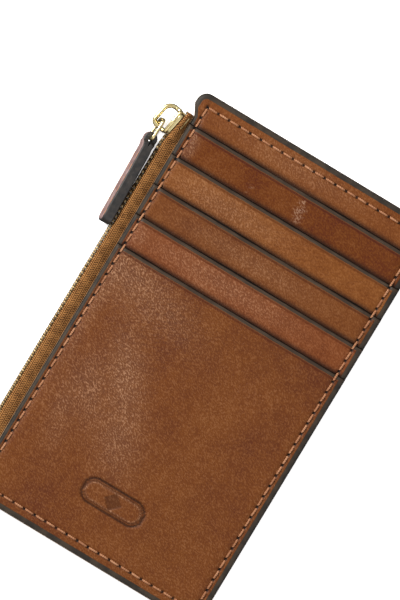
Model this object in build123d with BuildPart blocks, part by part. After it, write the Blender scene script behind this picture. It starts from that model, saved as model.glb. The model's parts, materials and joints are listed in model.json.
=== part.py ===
from build123d import *
import os
from math import cos, hypot, radians, sin

# Flat leather pouch: a zip along one long side opens one compartment, and the front carries
# five card slots. Millimetres. The pouch lies on its back: +Z is up through the card slots,
# +Y points to the end with the first slot, and the zip runs along the -X side. The origin is
# the centre of the flat back.

# Body
BODY_WIDTH = 97.0
BODY_LENGTH = 166.0
CORNER_RADIUS = 4.0
ZIP_RECESS = 2.0          # the zip side stands in from the corners by this much
ZIP_FROM_END = 9.5        # the recessed side stops this far from each end
EAR_SLOPE = 4.0           # run over which the edge comes back out to the corner
SEAM_FLANGE_SIDE = 5.5    # flat seam beside the compartment
SEAM_FLANGE_END = 6.5     # flat seam at the two ends of the compartment
RIM_RUN = 5.0             # run over which the back rises to the seam

# Sheet thicknesses
BACK_LEATHER = 1.2
LEATHER = 1.0
LINING = 0.2
BASE_BOARD = 0.5
POCKET_LINING = 0.25
TAPE = 0.5

# Room inside
COMPARTMENT = 4.4         # height of the zipped compartment
CARD_ROOM = 0.1           # gap left for a card at each slot edge

# Card slots, counted from the +Y end
SLOT_FROM_END = 12.8      # the first slot's edge
SLOT_PITCH = 12.45
SLOT_COUNT = 5
SLOT_OVERLAP = 3.0        # each strip runs on below the next slot's edge
CARD_DEPTH = 50.0         # from a slot's edge to the bottom of its pocket
PANEL_SETTLE = 10.85      # the front panel is down on the board this far from its end

# Debossed mark on the front panel
MARK_X = 0.1
MARK_FROM_END = 23.0
MARK_LENGTH = 25.7
MARK_HEIGHT = 10.7
MARK_RADIUS = 5.0
MARK_LINE = 1.0
MARK_DEPTH = 0.3
MARK_RHOMBUS = 5.0

# Zip chain
TAPE_REACH = 6.3          # tape sewn in behind the leather
TEETH_REACH = 5.8         # outer face of the teeth beyond the recessed edge
TOOTH_PITCH = 2.05
TOOTH_THICKNESS = 0.95
TOOTH_OUTER_LEG = 1.1
TOOTH_INNER_LEG = 0.6
TOOTH_HALF_CHAIN = 2.15   # chain centre to the end of a tooth's legs
TOOTH_HOOK = 0.65         # how far a tooth reaches past the chain centre
TOOTH_CROTCH = 0.95       # chain centre to the edge of the tape inside the tooth
TOOTH_BEVEL = 0.35
CHAIN_BELOW = 1.5         # chain centre below the compartment's ceiling
CHAIN_TURN = 10.2         # degrees that the chain turns inwards at the closed end
CHAIN_TURN_RUN = 13.35    # length at the closed end that is turned
CHAIN_TURN_RADIUS = 25.0
TEETH_PARTED = 1.3        # each row's shift at the slider's upper mouth
TAPE_SHOULDER = 0.7       # the tapes turn in this far past the teeth
STOP_LENGTH = 0.8
STOP_THICKNESS = 0.6
STOP_HEIGHT = 1.2
STOP_GAP = 0.3
END_GAP = 0.2             # zip tape to the corner pieces

# Slider
SLIDER_FROM_END = 6.3     # slider's middle to the end of the mouth, when closed
SLIDER_LENGTH = 10.2
SLIDER_WIDE = 8.0
SLIDER_NARROW = 6.0
SLIDER_OUTER_PLATE = 1.2
SLIDER_INNER_PLATE = 0.8
SLIDER_FLANGE = 0.45
SLIDER_CLEARANCE = 0.2
SLIDER_CORNER = 0.8
DIVIDER_WIDTH = 0.6
DIVIDER_LENGTH = 2.0
BRIDGE_BAND = 1.35
BRIDGE_WIDTH = 2.0
BRIDGE_HEIGHT = 5.5       # above the outer plate
BRIDGE_LOW_RADIUS = 1.7
BRIDGE_HIGH_RADIUS = 3.2

# Link and pull tab
LINK_ALONG = -1.907       # link's upper bar along the chain from the slider's middle
LINK_OUT = 5.518          # and outwards from the chain
LINK_ABOVE = 1.2          # and above it
LINK_LENGTH = 8.1         # between the centres of its two end bars
LINK_INSIDE = 5.8
LINK_WIRE = 1.3
LINK_CORNER = 1.3
LINK_SWING = 1.8          # degrees from -Y, away from the zip
TAB_LEAN = 13.0           # degrees that the link and tab lean over towards the pouch
TAB_SWING = -1.65         # degrees from -Y, towards the zip
TAB_LENGTH = 34.3         # from the link's end bar to the tip
TAB_WIDTH = 8.0
TAB_SHEET = 1.65          # one of the two layers of the tab
TAB_NECK = 3.4
TAB_NECK_LENGTH = 0.9
TAB_NECK_TAPER = 0.8
TAB_TIP_RADIUS = 2.6
TAB_LOOP_ROOM = 0.1
TAB_LOOP_TAPER = 3.5

# Stitching
STITCH_PITCH = 4.35
STITCH_LENGTH = 2.9
STITCH_WIDTH = 0.7
STITCH_PROUD = 0.25       # height of a stitch above the leather, and its depth in it
SEAM_FROM_SIDE = 3.4
SEAM_FROM_END = 4.7
SEAM_FROM_ZIP = 2.8
TAB_STITCH_PITCH = 4.6
TAB_STITCH_INSET = 1.1
TAB_STITCH_START = 7.5

# Heights of the layers
FLOOR = BACK_LEATHER
FLOOR_LINED = FLOOR + LINING
CEILING = FLOOR_LINED + COMPARTMENT
BOARD_UNDER = CEILING + LINING
BOARD_TOP = BOARD_UNDER + BASE_BOARD
FLANGE_UNDER = CEILING - BACK_LEATHER

# Places in plan
RIGHT = BODY_WIDTH / 2
LEFT = -RIGHT
ZIP_EDGE = LEFT + ZIP_RECESS
END = BODY_LENGTH / 2
MOUTH_END = END - ZIP_FROM_END
TAPE_INNER = ZIP_EDGE + TAPE_REACH
TAPE_END = MOUTH_END - END_GAP
TEETH_OUTER = ZIP_EDGE - TEETH_REACH
CHAIN_X = TEETH_OUTER + TOOTH_OUTER_LEG + TAPE / 2
SLOTS = [END - SLOT_FROM_END - SLOT_PITCH * number for number in range(SLOT_COUNT)]
MARK_Y = MARK_FROM_END - END
CHAIN_HEIGHT = CEILING - CHAIN_BELOW
CHAIN_TURN_Y = MOUTH_END - CHAIN_TURN_RUN
SLIDER_Y = MOUTH_END - SLIDER_FROM_END


def ribbon(path, thickness):
    """Corners of a sheet of even thickness along a bent centre line of (u, v) points."""
    sides = ([], [])
    for index, (u, v) in enumerate(path):
        before = path[max(index - 1, 0)]
        after = path[min(index + 1, len(path) - 1)]
        first = unit(u - before[0], v - before[1]) if index > 0 else None
        last = unit(after[0] - u, after[1] - v) if index < len(path) - 1 else None
        first = first or last
        last = last or first
        normal = unit(-first[1] - last[1], first[0] + last[0])
        reach = thickness / 2 / (normal[0] * -first[1] + normal[1] * first[0])
        sides[0].append((u + normal[0] * reach, v + normal[1] * reach))
        sides[1].append((u - normal[0] * reach, v - normal[1] * reach))
    return sides[0] + sides[1][::-1]


def unit(u, v):
    """The direction (u, v) at length 1."""
    length = hypot(u, v)
    return (u / length, v / length)


def line_at(points, y):
    """Height at y on a line of (y, z) points that runs from +Y to -Y."""
    for (y0, z0), (y1, z1) in zip(points, points[1:]):
        if y1 <= y <= y0:
            return z0 + (z1 - z0) * (y0 - y) / (y0 - y1)
    return points[-1][1]


def front_lines():
    """Top line, in the YZ plane, of the top strip, each pocket strip and the front panel."""
    lines = [[(END, BOARD_TOP + LEATHER), (SLOTS[0] - SLOT_OVERLAP, BOARD_TOP + LEATHER)]]
    for number, edge in enumerate(SLOTS, start=1):
        high = line_at(lines[-1], edge) + CARD_ROOM + LEATHER
        low = BOARD_TOP + LEATHER + POCKET_LINING * min(number, SLOT_COUNT - 1)
        lower_end = edge - SLOT_PITCH - SLOT_OVERLAP
        line = [(edge, high), (edge - SLOT_OVERLAP, high), (lower_end, low)]
        if number == SLOT_COUNT:
            pocket_end = SLOTS[-2] - CARD_DEPTH
            line += [(pocket_end, low), (PANEL_SETTLE - END, BOARD_TOP + LEATHER)]
            line += [(-END, BOARD_TOP + LEATHER)]
        lines.append(line)
    return lines


FRONT_LINES = front_lines()


def front_height(y):
    """Height of the visible front leather at y."""
    visible = FRONT_LINES[0]
    for edge, line in zip(SLOTS, FRONT_LINES[1:]):
        if y < edge:
            visible = line
    return line_at(visible, y)


def body_outline():
    """Plan of every full-size sheet: rounded corners, with the zip side set in."""
    with BuildSketch() as outline:
        RectangleRounded(BODY_WIDTH, BODY_LENGTH, CORNER_RADIUS)
        with BuildSketch(mode=Mode.SUBTRACT):
            with BuildLine():
                Polyline(
                    (LEFT - 1, -MOUTH_END - EAR_SLOPE * (1 + 1 / ZIP_RECESS)),
                    (ZIP_EDGE, -MOUTH_END),
                    (ZIP_EDGE, MOUTH_END),
                    (LEFT - 1, MOUTH_END + EAR_SLOPE * (1 + 1 / ZIP_RECESS)),
                    close=True,
                )
            make_face()
    return outline.sketch


def plate(x_low, x_high, y_half, height):
    """Rounded rectangle from x_low to x_high, laid at a height, as one section of a loft."""
    with BuildSketch(Plane.XY.offset(height)) as section:
        with Locations(((x_low + x_high) / 2, 0)):
            RectangleRounded(x_high - x_low, 2 * y_half, CORNER_RADIUS)
    return section.sketch


def make_back_panel():
    """Back leather: a shallow tray whose rim rises to a flat seam, open on the zip side."""
    seam_x = RIGHT - SEAM_FLANGE_SIDE
    seam_y = END - SEAM_FLANGE_END
    with BuildPart() as back_panel:
        low = plate(LEFT, seam_x - RIM_RUN, seam_y - RIM_RUN, 0)
        high = plate(LEFT, seam_x, seam_y, FLANGE_UNDER)
        loft([low, high], ruled=True)
        with BuildSketch(Plane.XY.offset(FLANGE_UNDER)):
            add(body_outline())
        extrude(amount=BACK_LEATHER)
        low = plate(ZIP_EDGE + ZIP_RECESS, seam_x - RIM_RUN, seam_y - RIM_RUN, FLOOR)
        high = plate(ZIP_EDGE + ZIP_RECESS, seam_x, seam_y, CEILING)
        loft([low, high], ruled=True, mode=Mode.SUBTRACT)
        with BuildSketch(Plane.XY.offset(FLOOR)):
            with Locations(((LEFT + TAPE_INNER) / 2, 0)):
                Rectangle(TAPE_INNER - LEFT, 2 * MOUTH_END)
        extrude(amount=CEILING, mode=Mode.SUBTRACT)
        with BuildSketch():
            add(body_outline())
        extrude(amount=CEILING, mode=Mode.INTERSECT)
    return back_panel


def make_back_lining():
    """Cloth on the flat floor of the compartment."""
    seam_x = RIGHT - SEAM_FLANGE_SIDE - RIM_RUN
    seam_y = END - SEAM_FLANGE_END - RIM_RUN
    with BuildPart() as back_lining:
        with BuildSketch(Plane.XY.offset(FLOOR)):
            with Locations(((TAPE_INNER + seam_x) / 2, 0)):
                RectangleRounded(
                    seam_x - TAPE_INNER - 2 * LINING,
                    2 * (seam_y - LINING),
                    CORNER_RADIUS,
                )
        extrude(amount=LINING)
    return back_lining


def make_front_lining():
    """Cloth ceiling of the compartment, cut back where the zip tape is sewn in."""
    with BuildPart() as front_lining:
        with BuildSketch(Plane.XY.offset(CEILING)):
            add(body_outline())
            with Locations(((LEFT + TAPE_INNER) / 2, 0)):
                Rectangle(TAPE_INNER - LEFT, 2 * MOUTH_END, mode=Mode.SUBTRACT)
        extrude(amount=LINING)
    return front_lining


def make_pocket_base():
    """Thin board that the card pockets are built on."""
    with BuildPart() as pocket_base:
        with BuildSketch(Plane.XY.offset(BOARD_UNDER)):
            add(body_outline())
        extrude(amount=BASE_BOARD)
    return pocket_base


def make_front_sheet(line):
    """One full-width piece of front leather under its top line."""
    under = [(y, z - LEATHER) for y, z in line]
    with BuildPart() as sheet:
        with BuildSketch(Plane.YZ.offset(LEFT)):
            with BuildLine():
                Polyline(*line, *under[::-1], close=True)
            make_face()
        extrude(amount=BODY_WIDTH)
        with BuildSketch(Plane.XY.offset(BOARD_UNDER)):
            add(body_outline())
        extrude(amount=BODY_LENGTH, mode=Mode.INTERSECT)
    return sheet


def make_front_panel():
    """Large front leather with a plain framed rhombus pressed into it."""
    sheet = make_front_sheet(FRONT_LINES[-1])
    with BuildPart() as front_panel:
        add(sheet.part)
        with BuildSketch(Plane.XY.offset(front_height(MARK_Y) - MARK_DEPTH)):
            with Locations((MARK_X, MARK_Y)):
                RectangleRounded(MARK_LENGTH, MARK_HEIGHT, MARK_RADIUS)
                RectangleRounded(
                    MARK_LENGTH - 2 * MARK_LINE,
                    MARK_HEIGHT - 2 * MARK_LINE,
                    MARK_RADIUS - MARK_LINE,
                    mode=Mode.SUBTRACT,
                )
                Rectangle(MARK_RHOMBUS, MARK_RHOMBUS, rotation=45)
        extrude(amount=LEATHER, mode=Mode.SUBTRACT)
    return front_panel


def make_pocket_lining(number):
    """Cloth back of a card pocket: under its strip, then flat down to the pocket's bottom."""
    strip = FRONT_LINES[number]
    start = strip[1][0] - 2 * LINING
    corner = strip[2][0]
    bottom = SLOTS[number - 1] - CARD_DEPTH
    upper = [(start, line_at(strip, start)), (corner, strip[2][1]), (bottom, strip[2][1])]
    upper = [(y, z - LEATHER) for y, z in upper]
    under = [(y, z - POCKET_LINING) for y, z in upper]
    width = BODY_WIDTH - 2 * SEAM_FROM_SIDE - 2 * ZIP_RECESS
    with BuildPart() as pocket_lining:
        with BuildSketch(Plane.YZ.offset(-width / 2)):
            with BuildLine():
                Polyline(*upper, *under[::-1], close=True)
            make_face()
        extrude(amount=width)
    return pocket_lining


def chain_line():
    """Centre line of the zip chain in plan, from the open end to the closed end."""
    turn = radians(CHAIN_TURN)
    run = (TAPE_END - CHAIN_TURN_Y) / cos(turn)
    corner = Vector(CHAIN_X, CHAIN_TURN_Y, CHAIN_HEIGHT)
    with BuildLine() as chain:
        FilletPolyline(
            (CHAIN_X, -TAPE_END, CHAIN_HEIGHT),
            corner,
            corner + Vector(sin(turn), cos(turn), 0) * run,
            radius=CHAIN_TURN_RADIUS,
        )
    return chain.wire()


CHAIN = chain_line()
SLIDER_TURN = radians(CHAIN_TURN)
ALONG_CHAIN = Vector(sin(SLIDER_TURN), cos(SLIDER_TURN), 0)
OUTWARDS = Vector(-cos(SLIDER_TURN), sin(SLIDER_TURN), 0)
SLIDER_X = CHAIN_X + (SLIDER_Y - CHAIN_TURN_Y) * sin(SLIDER_TURN) / cos(SLIDER_TURN)
SLIDER_CENTRE = Vector(SLIDER_X, SLIDER_Y, CHAIN_HEIGHT)
SLIDER_ACROSS = Plane(SLIDER_CENTRE, x_dir=(0, 0, 1), z_dir=OUTWARDS)
SLIDER_SIDE = Plane(SLIDER_CENTRE, x_dir=ALONG_CHAIN, z_dir=(0, 0, 1))
CHANNEL_OUTER = TOOTH_OUTER_LEG + TAPE / 2 + SLIDER_CLEARANCE
CHANNEL_INNER = TOOTH_INNER_LEG + TAPE / 2 + SLIDER_CLEARANCE
PLATE_FACE = CHANNEL_OUTER + SLIDER_OUTER_PLATE


def parted(y):
    """Shift of each row of teeth from the chain centre, inside the slider's upper part."""
    start = SLIDER_Y - TOOTH_PITCH / 2
    rise = (y - start) / (SLIDER_Y + SLIDER_LENGTH / 2 - start)
    return TEETH_PARTED * min(max(rise, 0), 1)


def tape_section(y, side):
    """Section of one tape at y: from the teeth, over its shoulder and in to the seam."""
    x = CHAIN_X + max(y - CHAIN_TURN_Y, 0) * sin(SLIDER_TURN) / cos(SLIDER_TURN)
    edge = TOOTH_CROTCH + parted(y)
    shoulder = TOOTH_HALF_CHAIN + TAPE_SHOULDER + parted(y) / 2
    seam = (BOARD_UNDER - TAPE / 2) if side > 0 else (FLOOR + TAPE / 2)
    seam_edge = ZIP_EDGE - TAPE / 2
    path = [
        (x, CHAIN_HEIGHT + side * edge),
        (x, CHAIN_HEIGHT + side * shoulder),
        ((x + seam_edge) / 2, CHAIN_HEIGHT + side * shoulder - (TAPE / 4) * side),
        (seam_edge, seam),
        (TAPE_INNER, seam),
    ]
    with BuildSketch(Plane.XZ.offset(-y)) as section:
        with BuildLine():
            Polyline(*ribbon(path, TAPE), close=True)
        make_face()
    return section.sketch


def make_zip_tape(side):
    """One zip tape; side is 1 for the front and -1 for the back."""
    stations = [-TAPE_END, CHAIN_TURN_Y, SLIDER_Y, TAPE_END]
    with BuildPart() as zip_tape:
        for y0, y1 in zip(stations, stations[1:]):
            loft([tape_section(y0, side), tape_section(y1, side)], ruled=True)
        add(slider_shell(SLIDER_CLEARANCE).part, mode=Mode.SUBTRACT)
    return zip_tape


def tooth_planes(offset):
    """A plane across the chain at each tooth of one row that ends inside the slider."""
    first = STOP_LENGTH + STOP_GAP + TOOTH_PITCH
    last = CHAIN.length - END_GAP - STOP_LENGTH - TOOTH_PITCH
    count = int((last - first - offset) / TOOTH_PITCH)
    planes = []
    for number in range(count + 1):
        where = first + offset + number * TOOTH_PITCH
        point = CHAIN.position_at(where, position_mode=PositionMode.LENGTH)
        along = CHAIN.tangent_at(where, position_mode=PositionMode.LENGTH)
        planes.append(Plane(point, x_dir=(-along.Y, along.X, 0), z_dir=along))
    return planes


def make_zip_teeth(side):
    """One row of teeth, each a hooked head with two legs that clamp the tape's edge."""
    outer = TAPE / 2 + TOOTH_OUTER_LEG
    inner = -TAPE / 2 - TOOTH_INNER_LEG
    shape = [
        (inner, TOOTH_BEVEL - TOOTH_HOOK),
        (inner + TOOTH_BEVEL, -TOOTH_HOOK),
        (outer - TOOTH_BEVEL, -TOOTH_HOOK),
        (outer, TOOTH_BEVEL - TOOTH_HOOK),
        (outer, TOOTH_HALF_CHAIN),
        (TAPE / 2, TOOTH_HALF_CHAIN),
        (TAPE / 2, TOOTH_CROTCH),
        (-TAPE / 2, TOOTH_CROTCH),
        (-TAPE / 2, TOOTH_HALF_CHAIN),
        (inner, TOOTH_HALF_CHAIN),
    ]
    offset = 0 if side > 0 else TOOTH_PITCH / 2
    with BuildPart() as zip_teeth:
        for plane in tooth_planes(offset):
            shift = parted(plane.origin.Y)
            with BuildSketch(plane):
                with BuildLine():
                    Polyline(*[(x, side * (y + shift)) for x, y in shape], close=True)
                make_face()
        extrude(amount=TOOTH_THICKNESS / 2, both=True)
    return zip_teeth


def make_zip_top_stops():
    """Two small metal clamps on the outside of the tapes, just past the closed slider."""
    where = CHAIN.length - STOP_LENGTH
    point = CHAIN.position_at(where, position_mode=PositionMode.LENGTH)
    middle = TOOTH_CROTCH + TEETH_PARTED + STOP_HEIGHT / 2
    outside = (TAPE + STOP_THICKNESS) / 2
    with BuildPart() as zip_top_stops:
        with BuildSketch(Plane(point, x_dir=OUTWARDS, z_dir=ALONG_CHAIN)):
            with Locations((outside, middle), (outside, -middle)):
                RectangleRounded(STOP_THICKNESS, STOP_HEIGHT, STOP_THICKNESS / 4)
        extrude(amount=STOP_LENGTH)
    return zip_top_stops


def make_zip_bottom_stop():
    """One metal clamp across both tapes at the open end."""
    with BuildPart() as zip_bottom_stop:
        with BuildSketch(Plane.XZ.offset(TAPE_END - STOP_GAP)):
            with Locations((CHAIN_X - TAPE / 2 - TOOTH_OUTER_LEG / 2, CHAIN_HEIGHT)):
                RectangleRounded(TOOTH_OUTER_LEG, 2 * TOOTH_HALF_CHAIN, TOOTH_BEVEL)
        extrude(amount=-STOP_LENGTH)
    return zip_bottom_stop


def slider_outline(grow):
    """Plan of the slider's plates: X across the chain, Y along it, wide at the upper mouth."""
    wide = SLIDER_WIDE / 2
    narrow = SLIDER_NARROW / 2
    half = SLIDER_LENGTH / 2
    with BuildSketch() as outline:
        with BuildLine():
            Polyline(
                (-narrow, -half),
                (narrow, -half),
                (wide, 0),
                (wide, half),
                (-wide, half),
                (-wide, 0),
                close=True,
            )
        make_face()
        fillet(outline.vertices().filter_by(lambda v: abs(v.Y) > half / 2), SLIDER_CORNER)
        if grow:
            offset(amount=grow)
    return outline.sketch


def slider_shell(grow):
    """Two plates joined by side flanges, which leave a slot for the tapes; grow swells them."""
    narrow = SLIDER_NARROW / 2 - SLIDER_FLANGE - grow
    wide = SLIDER_WIDE / 2 - SLIDER_FLANGE - grow
    past = SLIDER_LENGTH
    low = -CHANNEL_INNER + grow
    high = CHANNEL_OUTER - grow
    with BuildPart() as shell:
        with BuildSketch(SLIDER_ACROSS.offset(-CHANNEL_INNER - SLIDER_INNER_PLATE - grow)):
            add(slider_outline(grow))
        extrude(amount=CHANNEL_INNER + SLIDER_INNER_PLATE + PLATE_FACE + 2 * grow)
        with BuildSketch(SLIDER_ACROSS.offset(low)):
            with BuildLine():
                Polyline(
                    (-narrow, -past),
                    (narrow, -past),
                    (narrow, -SLIDER_LENGTH / 4),
                    (wide, SLIDER_LENGTH / 4),
                    (wide, past),
                    (-wide, past),
                    (-wide, SLIDER_LENGTH / 4),
                    (-narrow, -SLIDER_LENGTH / 4),
                    close=True,
                )
            make_face()
        extrude(amount=high - low, mode=Mode.SUBTRACT)
        slot = TAPE / 2 + SLIDER_CLEARANCE - grow
        with BuildSketch(SLIDER_ACROSS.offset(-slot)):
            Rectangle(2 * SLIDER_WIDE, 2 * past)
        extrude(amount=2 * slot, mode=Mode.SUBTRACT)
    return shell


def make_slider_body():
    """Slider body: the shell, and the divider between the two parted rows of teeth."""
    top = SLIDER_LENGTH / 2
    with BuildPart() as slider_body:
        add(slider_shell(0).part)
        with BuildSketch(SLIDER_ACROSS.offset(-CHANNEL_INNER)):
            with BuildLine():
                Polyline(
                    (0, top - DIVIDER_LENGTH),
                    (DIVIDER_WIDTH / 2, top - SLIDER_CORNER),
                    (DIVIDER_WIDTH / 2, top),
                    (-DIVIDER_WIDTH / 2, top),
                    (-DIVIDER_WIDTH / 2, top - SLIDER_CORNER),
                    close=True,
                )
            make_face()
        extrude(amount=CHANNEL_INNER + CHANNEL_OUTER)
    return slider_body


def make_slider_bridge():
    """D-shaped strap on the slider's outer plate, which holds the link."""
    reach = SLIDER_LENGTH / 2 - BRIDGE_BAND / 2
    crown = PLATE_FACE + BRIDGE_HEIGHT - BRIDGE_BAND / 2
    with BuildPart() as slider_bridge:
        with BuildSketch(SLIDER_SIDE.offset(-BRIDGE_WIDTH / 2)):
            with BuildLine():
                FilletPolyline(
                    (-reach, PLATE_FACE),
                    (-reach, crown),
                    (reach, crown),
                    (reach, PLATE_FACE),
                    radius=[BRIDGE_LOW_RADIUS, BRIDGE_HIGH_RADIUS],
                )
            trace(line_width=BRIDGE_BAND)
        extrude(amount=BRIDGE_WIDTH)
        with BuildSketch(SLIDER_ACROSS.offset(PLATE_FACE)):
            Rectangle(SLIDER_WIDE, 2 * SLIDER_LENGTH)
        extrude(amount=-SLIDER_LENGTH, mode=Mode.SUBTRACT)
    return slider_bridge


LEAN = radians(TAB_LEAN)
PIVOT_AXIS = Vector(sin(LEAN), 0, cos(LEAN))


def hanging(swing):
    """Direction square to the pivot axis that hangs towards -Y, swung by some degrees."""
    angle = radians(swing)
    down = Vector(-sin(angle), -cos(angle), 0)
    return (down - PIVOT_AXIS * down.dot(PIVOT_AXIS)).normalized()


LINK_DIRECTION = hanging(LINK_SWING)
TAB_DIRECTION = hanging(TAB_SWING)
LINK_PIVOT = SLIDER_CENTRE + ALONG_CHAIN * LINK_ALONG + OUTWARDS * LINK_OUT
LINK_PIVOT += Vector(0, 0, LINK_ABOVE)
TAB_PIVOT = LINK_PIVOT + LINK_DIRECTION * LINK_LENGTH


def make_puller_link():
    """Long closed ring of round wire through the bridge."""
    side = (LINK_INSIDE + LINK_WIRE) / 2
    plane = Plane(LINK_PIVOT, x_dir=LINK_DIRECTION, z_dir=LINK_DIRECTION.cross(PIVOT_AXIS))
    with BuildPart() as puller_link:
        with BuildLine(plane) as ring:
            FilletPolyline(
                (0, -side),
                (LINK_LENGTH, -side),
                (LINK_LENGTH, side),
                (0, side),
                radius=LINK_CORNER,
                close=True,
            )
        with BuildSketch(Plane(ring.line @ 0, z_dir=ring.line % 0)):
            Circle(LINK_WIRE / 2)
        sweep()
    return puller_link


TAB_SIDE = Plane(TAB_PIVOT, x_dir=TAB_DIRECTION, z_dir=PIVOT_AXIS)
TAB_FACE = Plane(TAB_PIVOT, x_dir=TAB_DIRECTION, z_dir=TAB_DIRECTION.cross(PIVOT_AXIS))
TAB_LOOP = LINK_WIRE / 2 + TAB_LOOP_ROOM


def make_pull_tab():
    """Leather strip folded round the link: a loop on a narrow neck, then two layers."""
    loop = TAB_LOOP + TAB_SHEET
    neck_end = TAB_NECK_LENGTH + TAB_NECK_TAPER
    with BuildPart() as pull_tab:
        with BuildSketch(TAB_SIDE.offset(-TAB_WIDTH / 2)):
            Circle(loop)
            with BuildLine():
                Polyline(
                    (0, -loop),
                    (TAB_LOOP_TAPER, -TAB_SHEET),
                    (TAB_LENGTH, -TAB_SHEET),
                    (TAB_LENGTH, TAB_SHEET),
                    (TAB_LOOP_TAPER, TAB_SHEET),
                    (0, loop),
                    close=True,
                )
            make_face()
            Circle(TAB_LOOP, mode=Mode.SUBTRACT)
        extrude(amount=TAB_WIDTH)
        with BuildSketch(TAB_FACE.offset(-2 * loop)) as outline:
            with BuildLine():
                Polyline(
                    (-2 * loop, -TAB_NECK / 2),
                    (TAB_NECK_LENGTH, -TAB_NECK / 2),
                    (neck_end, -TAB_WIDTH / 2),
                    (TAB_LENGTH, -TAB_WIDTH / 2),
                    (TAB_LENGTH, TAB_WIDTH / 2),
                    (neck_end, TAB_WIDTH / 2),
                    (TAB_NECK_LENGTH, TAB_NECK / 2),
                    (-2 * loop, TAB_NECK / 2),
                    close=True,
                )
            make_face()
            fillet(outline.vertices().group_by(Axis.Y)[0], TAB_TIP_RADIUS)
        extrude(amount=4 * loop, mode=Mode.INTERSECT)
    return pull_tab


def make_pull_tab_stitching():
    """A row of stitches along both edges of both faces of the tab."""
    row = TAB_WIDTH / 2 - TAB_STITCH_INSET
    run = TAB_LENGTH - TAB_TIP_RADIUS - TAB_STITCH_START
    places = []
    for number in range(int(run / TAB_STITCH_PITCH) + 1):
        along = TAB_STITCH_START + number * TAB_STITCH_PITCH
        places += [(along, row), (along, -row)]
    with BuildPart() as pull_tab_stitching:
        with BuildSketch(TAB_FACE.offset(TAB_SHEET), TAB_FACE.offset(-TAB_SHEET)):
            with Locations(*places):
                SlotOverall(STITCH_LENGTH, STITCH_WIDTH)
        extrude(amount=STITCH_PROUD, both=True)
    return pull_tab_stitching


def make_stitching(start, end, levels):
    """Even stitches in a row from start to end in plan, at each level's height there."""
    run = Vector(*end) - Vector(*start)
    count = round(run.length / STITCH_PITCH)
    planes = []
    for number in range(count):
        middle = Vector(*start) + run * ((number + 0.5) / count)
        for level in levels:
            point = (middle.X, middle.Y, level(middle.Y))
            planes.append(Plane(point, x_dir=run, z_dir=(0, 0, 1)))
    with BuildPart() as stitching:
        with BuildSketch(*planes):
            SlotOverall(STITCH_LENGTH, STITCH_WIDTH)
        extrude(amount=STITCH_PROUD, both=True)
    return stitching


def flange_height(y):
    """Underside of the seam, the same all round."""
    return FLANGE_UNDER


def sunk_height(y):
    """Middle of the stitches that are sunk flush into the flat back."""
    return STITCH_PROUD


def make_all():
    """Every sub-part by name."""
    zip_x = ZIP_EDGE + SEAM_FROM_ZIP
    side_x = RIGHT - SEAM_FROM_SIDE
    end_y = END - SEAM_FROM_END
    back_y = END - SEAM_FLANGE_END - RIM_RUN
    through = [front_height, flange_height]
    pieces = {
        "back_panel": make_back_panel(),
        "back_lining": make_back_lining(),
        "front_lining": make_front_lining(),
        "pocket_base": make_pocket_base(),
        "top_strip": make_front_sheet(FRONT_LINES[0]),
        "front_panel": make_front_panel(),
        "zip_tape_front": make_zip_tape(1),
        "zip_tape_back": make_zip_tape(-1),
        "zip_teeth_front": make_zip_teeth(1),
        "zip_teeth_back": make_zip_teeth(-1),
        "zip_top_stops": make_zip_top_stops(),
        "zip_bottom_stop": make_zip_bottom_stop(),
        "slider_body": make_slider_body(),
        "slider_bridge": make_slider_bridge(),
        "puller_link": make_puller_link(),
        "pull_tab_leather": make_pull_tab(),
        "pull_tab_stitching": make_pull_tab_stitching(),
        "seam_stitching_top": make_stitching((zip_x, end_y), (side_x, end_y), through),
        "seam_stitching_bottom": make_stitching((zip_x, -end_y), (side_x, -end_y), through),
        "seam_stitching_side": make_stitching((side_x, -end_y), (side_x, end_y), through),
        "zip_stitching_front": make_stitching((zip_x, -end_y), (zip_x, end_y), [front_height]),
        "zip_stitching_back": make_stitching((zip_x, -back_y), (zip_x, back_y), [sunk_height]),
    }
    for number in range(1, SLOT_COUNT):
        pieces[f"card_pocket_{number}"] = make_front_sheet(FRONT_LINES[number])
        pieces[f"pocket_lining_{number}"] = make_pocket_lining(number)
    return pieces


os.makedirs("parts", exist_ok=True)
for piece_name, piece in make_all().items():
    piece.part.label = piece_name
    export_step(piece.part, f"parts/{piece_name}.step")
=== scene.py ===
import json
from math import cos, pi, radians, sin, tan

import bmesh
import bpy
import numpy as np
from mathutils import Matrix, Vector


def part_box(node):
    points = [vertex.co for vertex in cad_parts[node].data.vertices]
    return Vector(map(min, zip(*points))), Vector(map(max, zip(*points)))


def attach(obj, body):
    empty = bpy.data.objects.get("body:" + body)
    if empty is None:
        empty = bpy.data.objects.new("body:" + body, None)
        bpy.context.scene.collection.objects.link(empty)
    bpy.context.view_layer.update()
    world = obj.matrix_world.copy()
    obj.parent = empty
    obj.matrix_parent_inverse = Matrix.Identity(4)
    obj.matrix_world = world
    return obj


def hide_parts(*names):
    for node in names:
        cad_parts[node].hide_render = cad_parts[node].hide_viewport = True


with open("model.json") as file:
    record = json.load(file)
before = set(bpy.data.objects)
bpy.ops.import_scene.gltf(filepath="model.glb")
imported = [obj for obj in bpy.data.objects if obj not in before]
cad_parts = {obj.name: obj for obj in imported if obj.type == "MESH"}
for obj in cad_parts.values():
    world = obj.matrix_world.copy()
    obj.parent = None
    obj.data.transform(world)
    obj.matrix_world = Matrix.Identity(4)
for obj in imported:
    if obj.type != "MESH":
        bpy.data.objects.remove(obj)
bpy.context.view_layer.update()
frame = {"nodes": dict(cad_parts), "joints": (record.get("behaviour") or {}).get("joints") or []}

# Flat leather pouch with a zip along one side and five card slots. Shapes are worked out in
# millimetres in the CAD frame, and become metres when the mesh is made.
MM = 0.001


def box_mm(node):
    """Lowest and highest corner of a CAD node in millimetres."""
    low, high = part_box(node)
    return np.array(low) / MM, np.array(high) / MM


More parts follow.
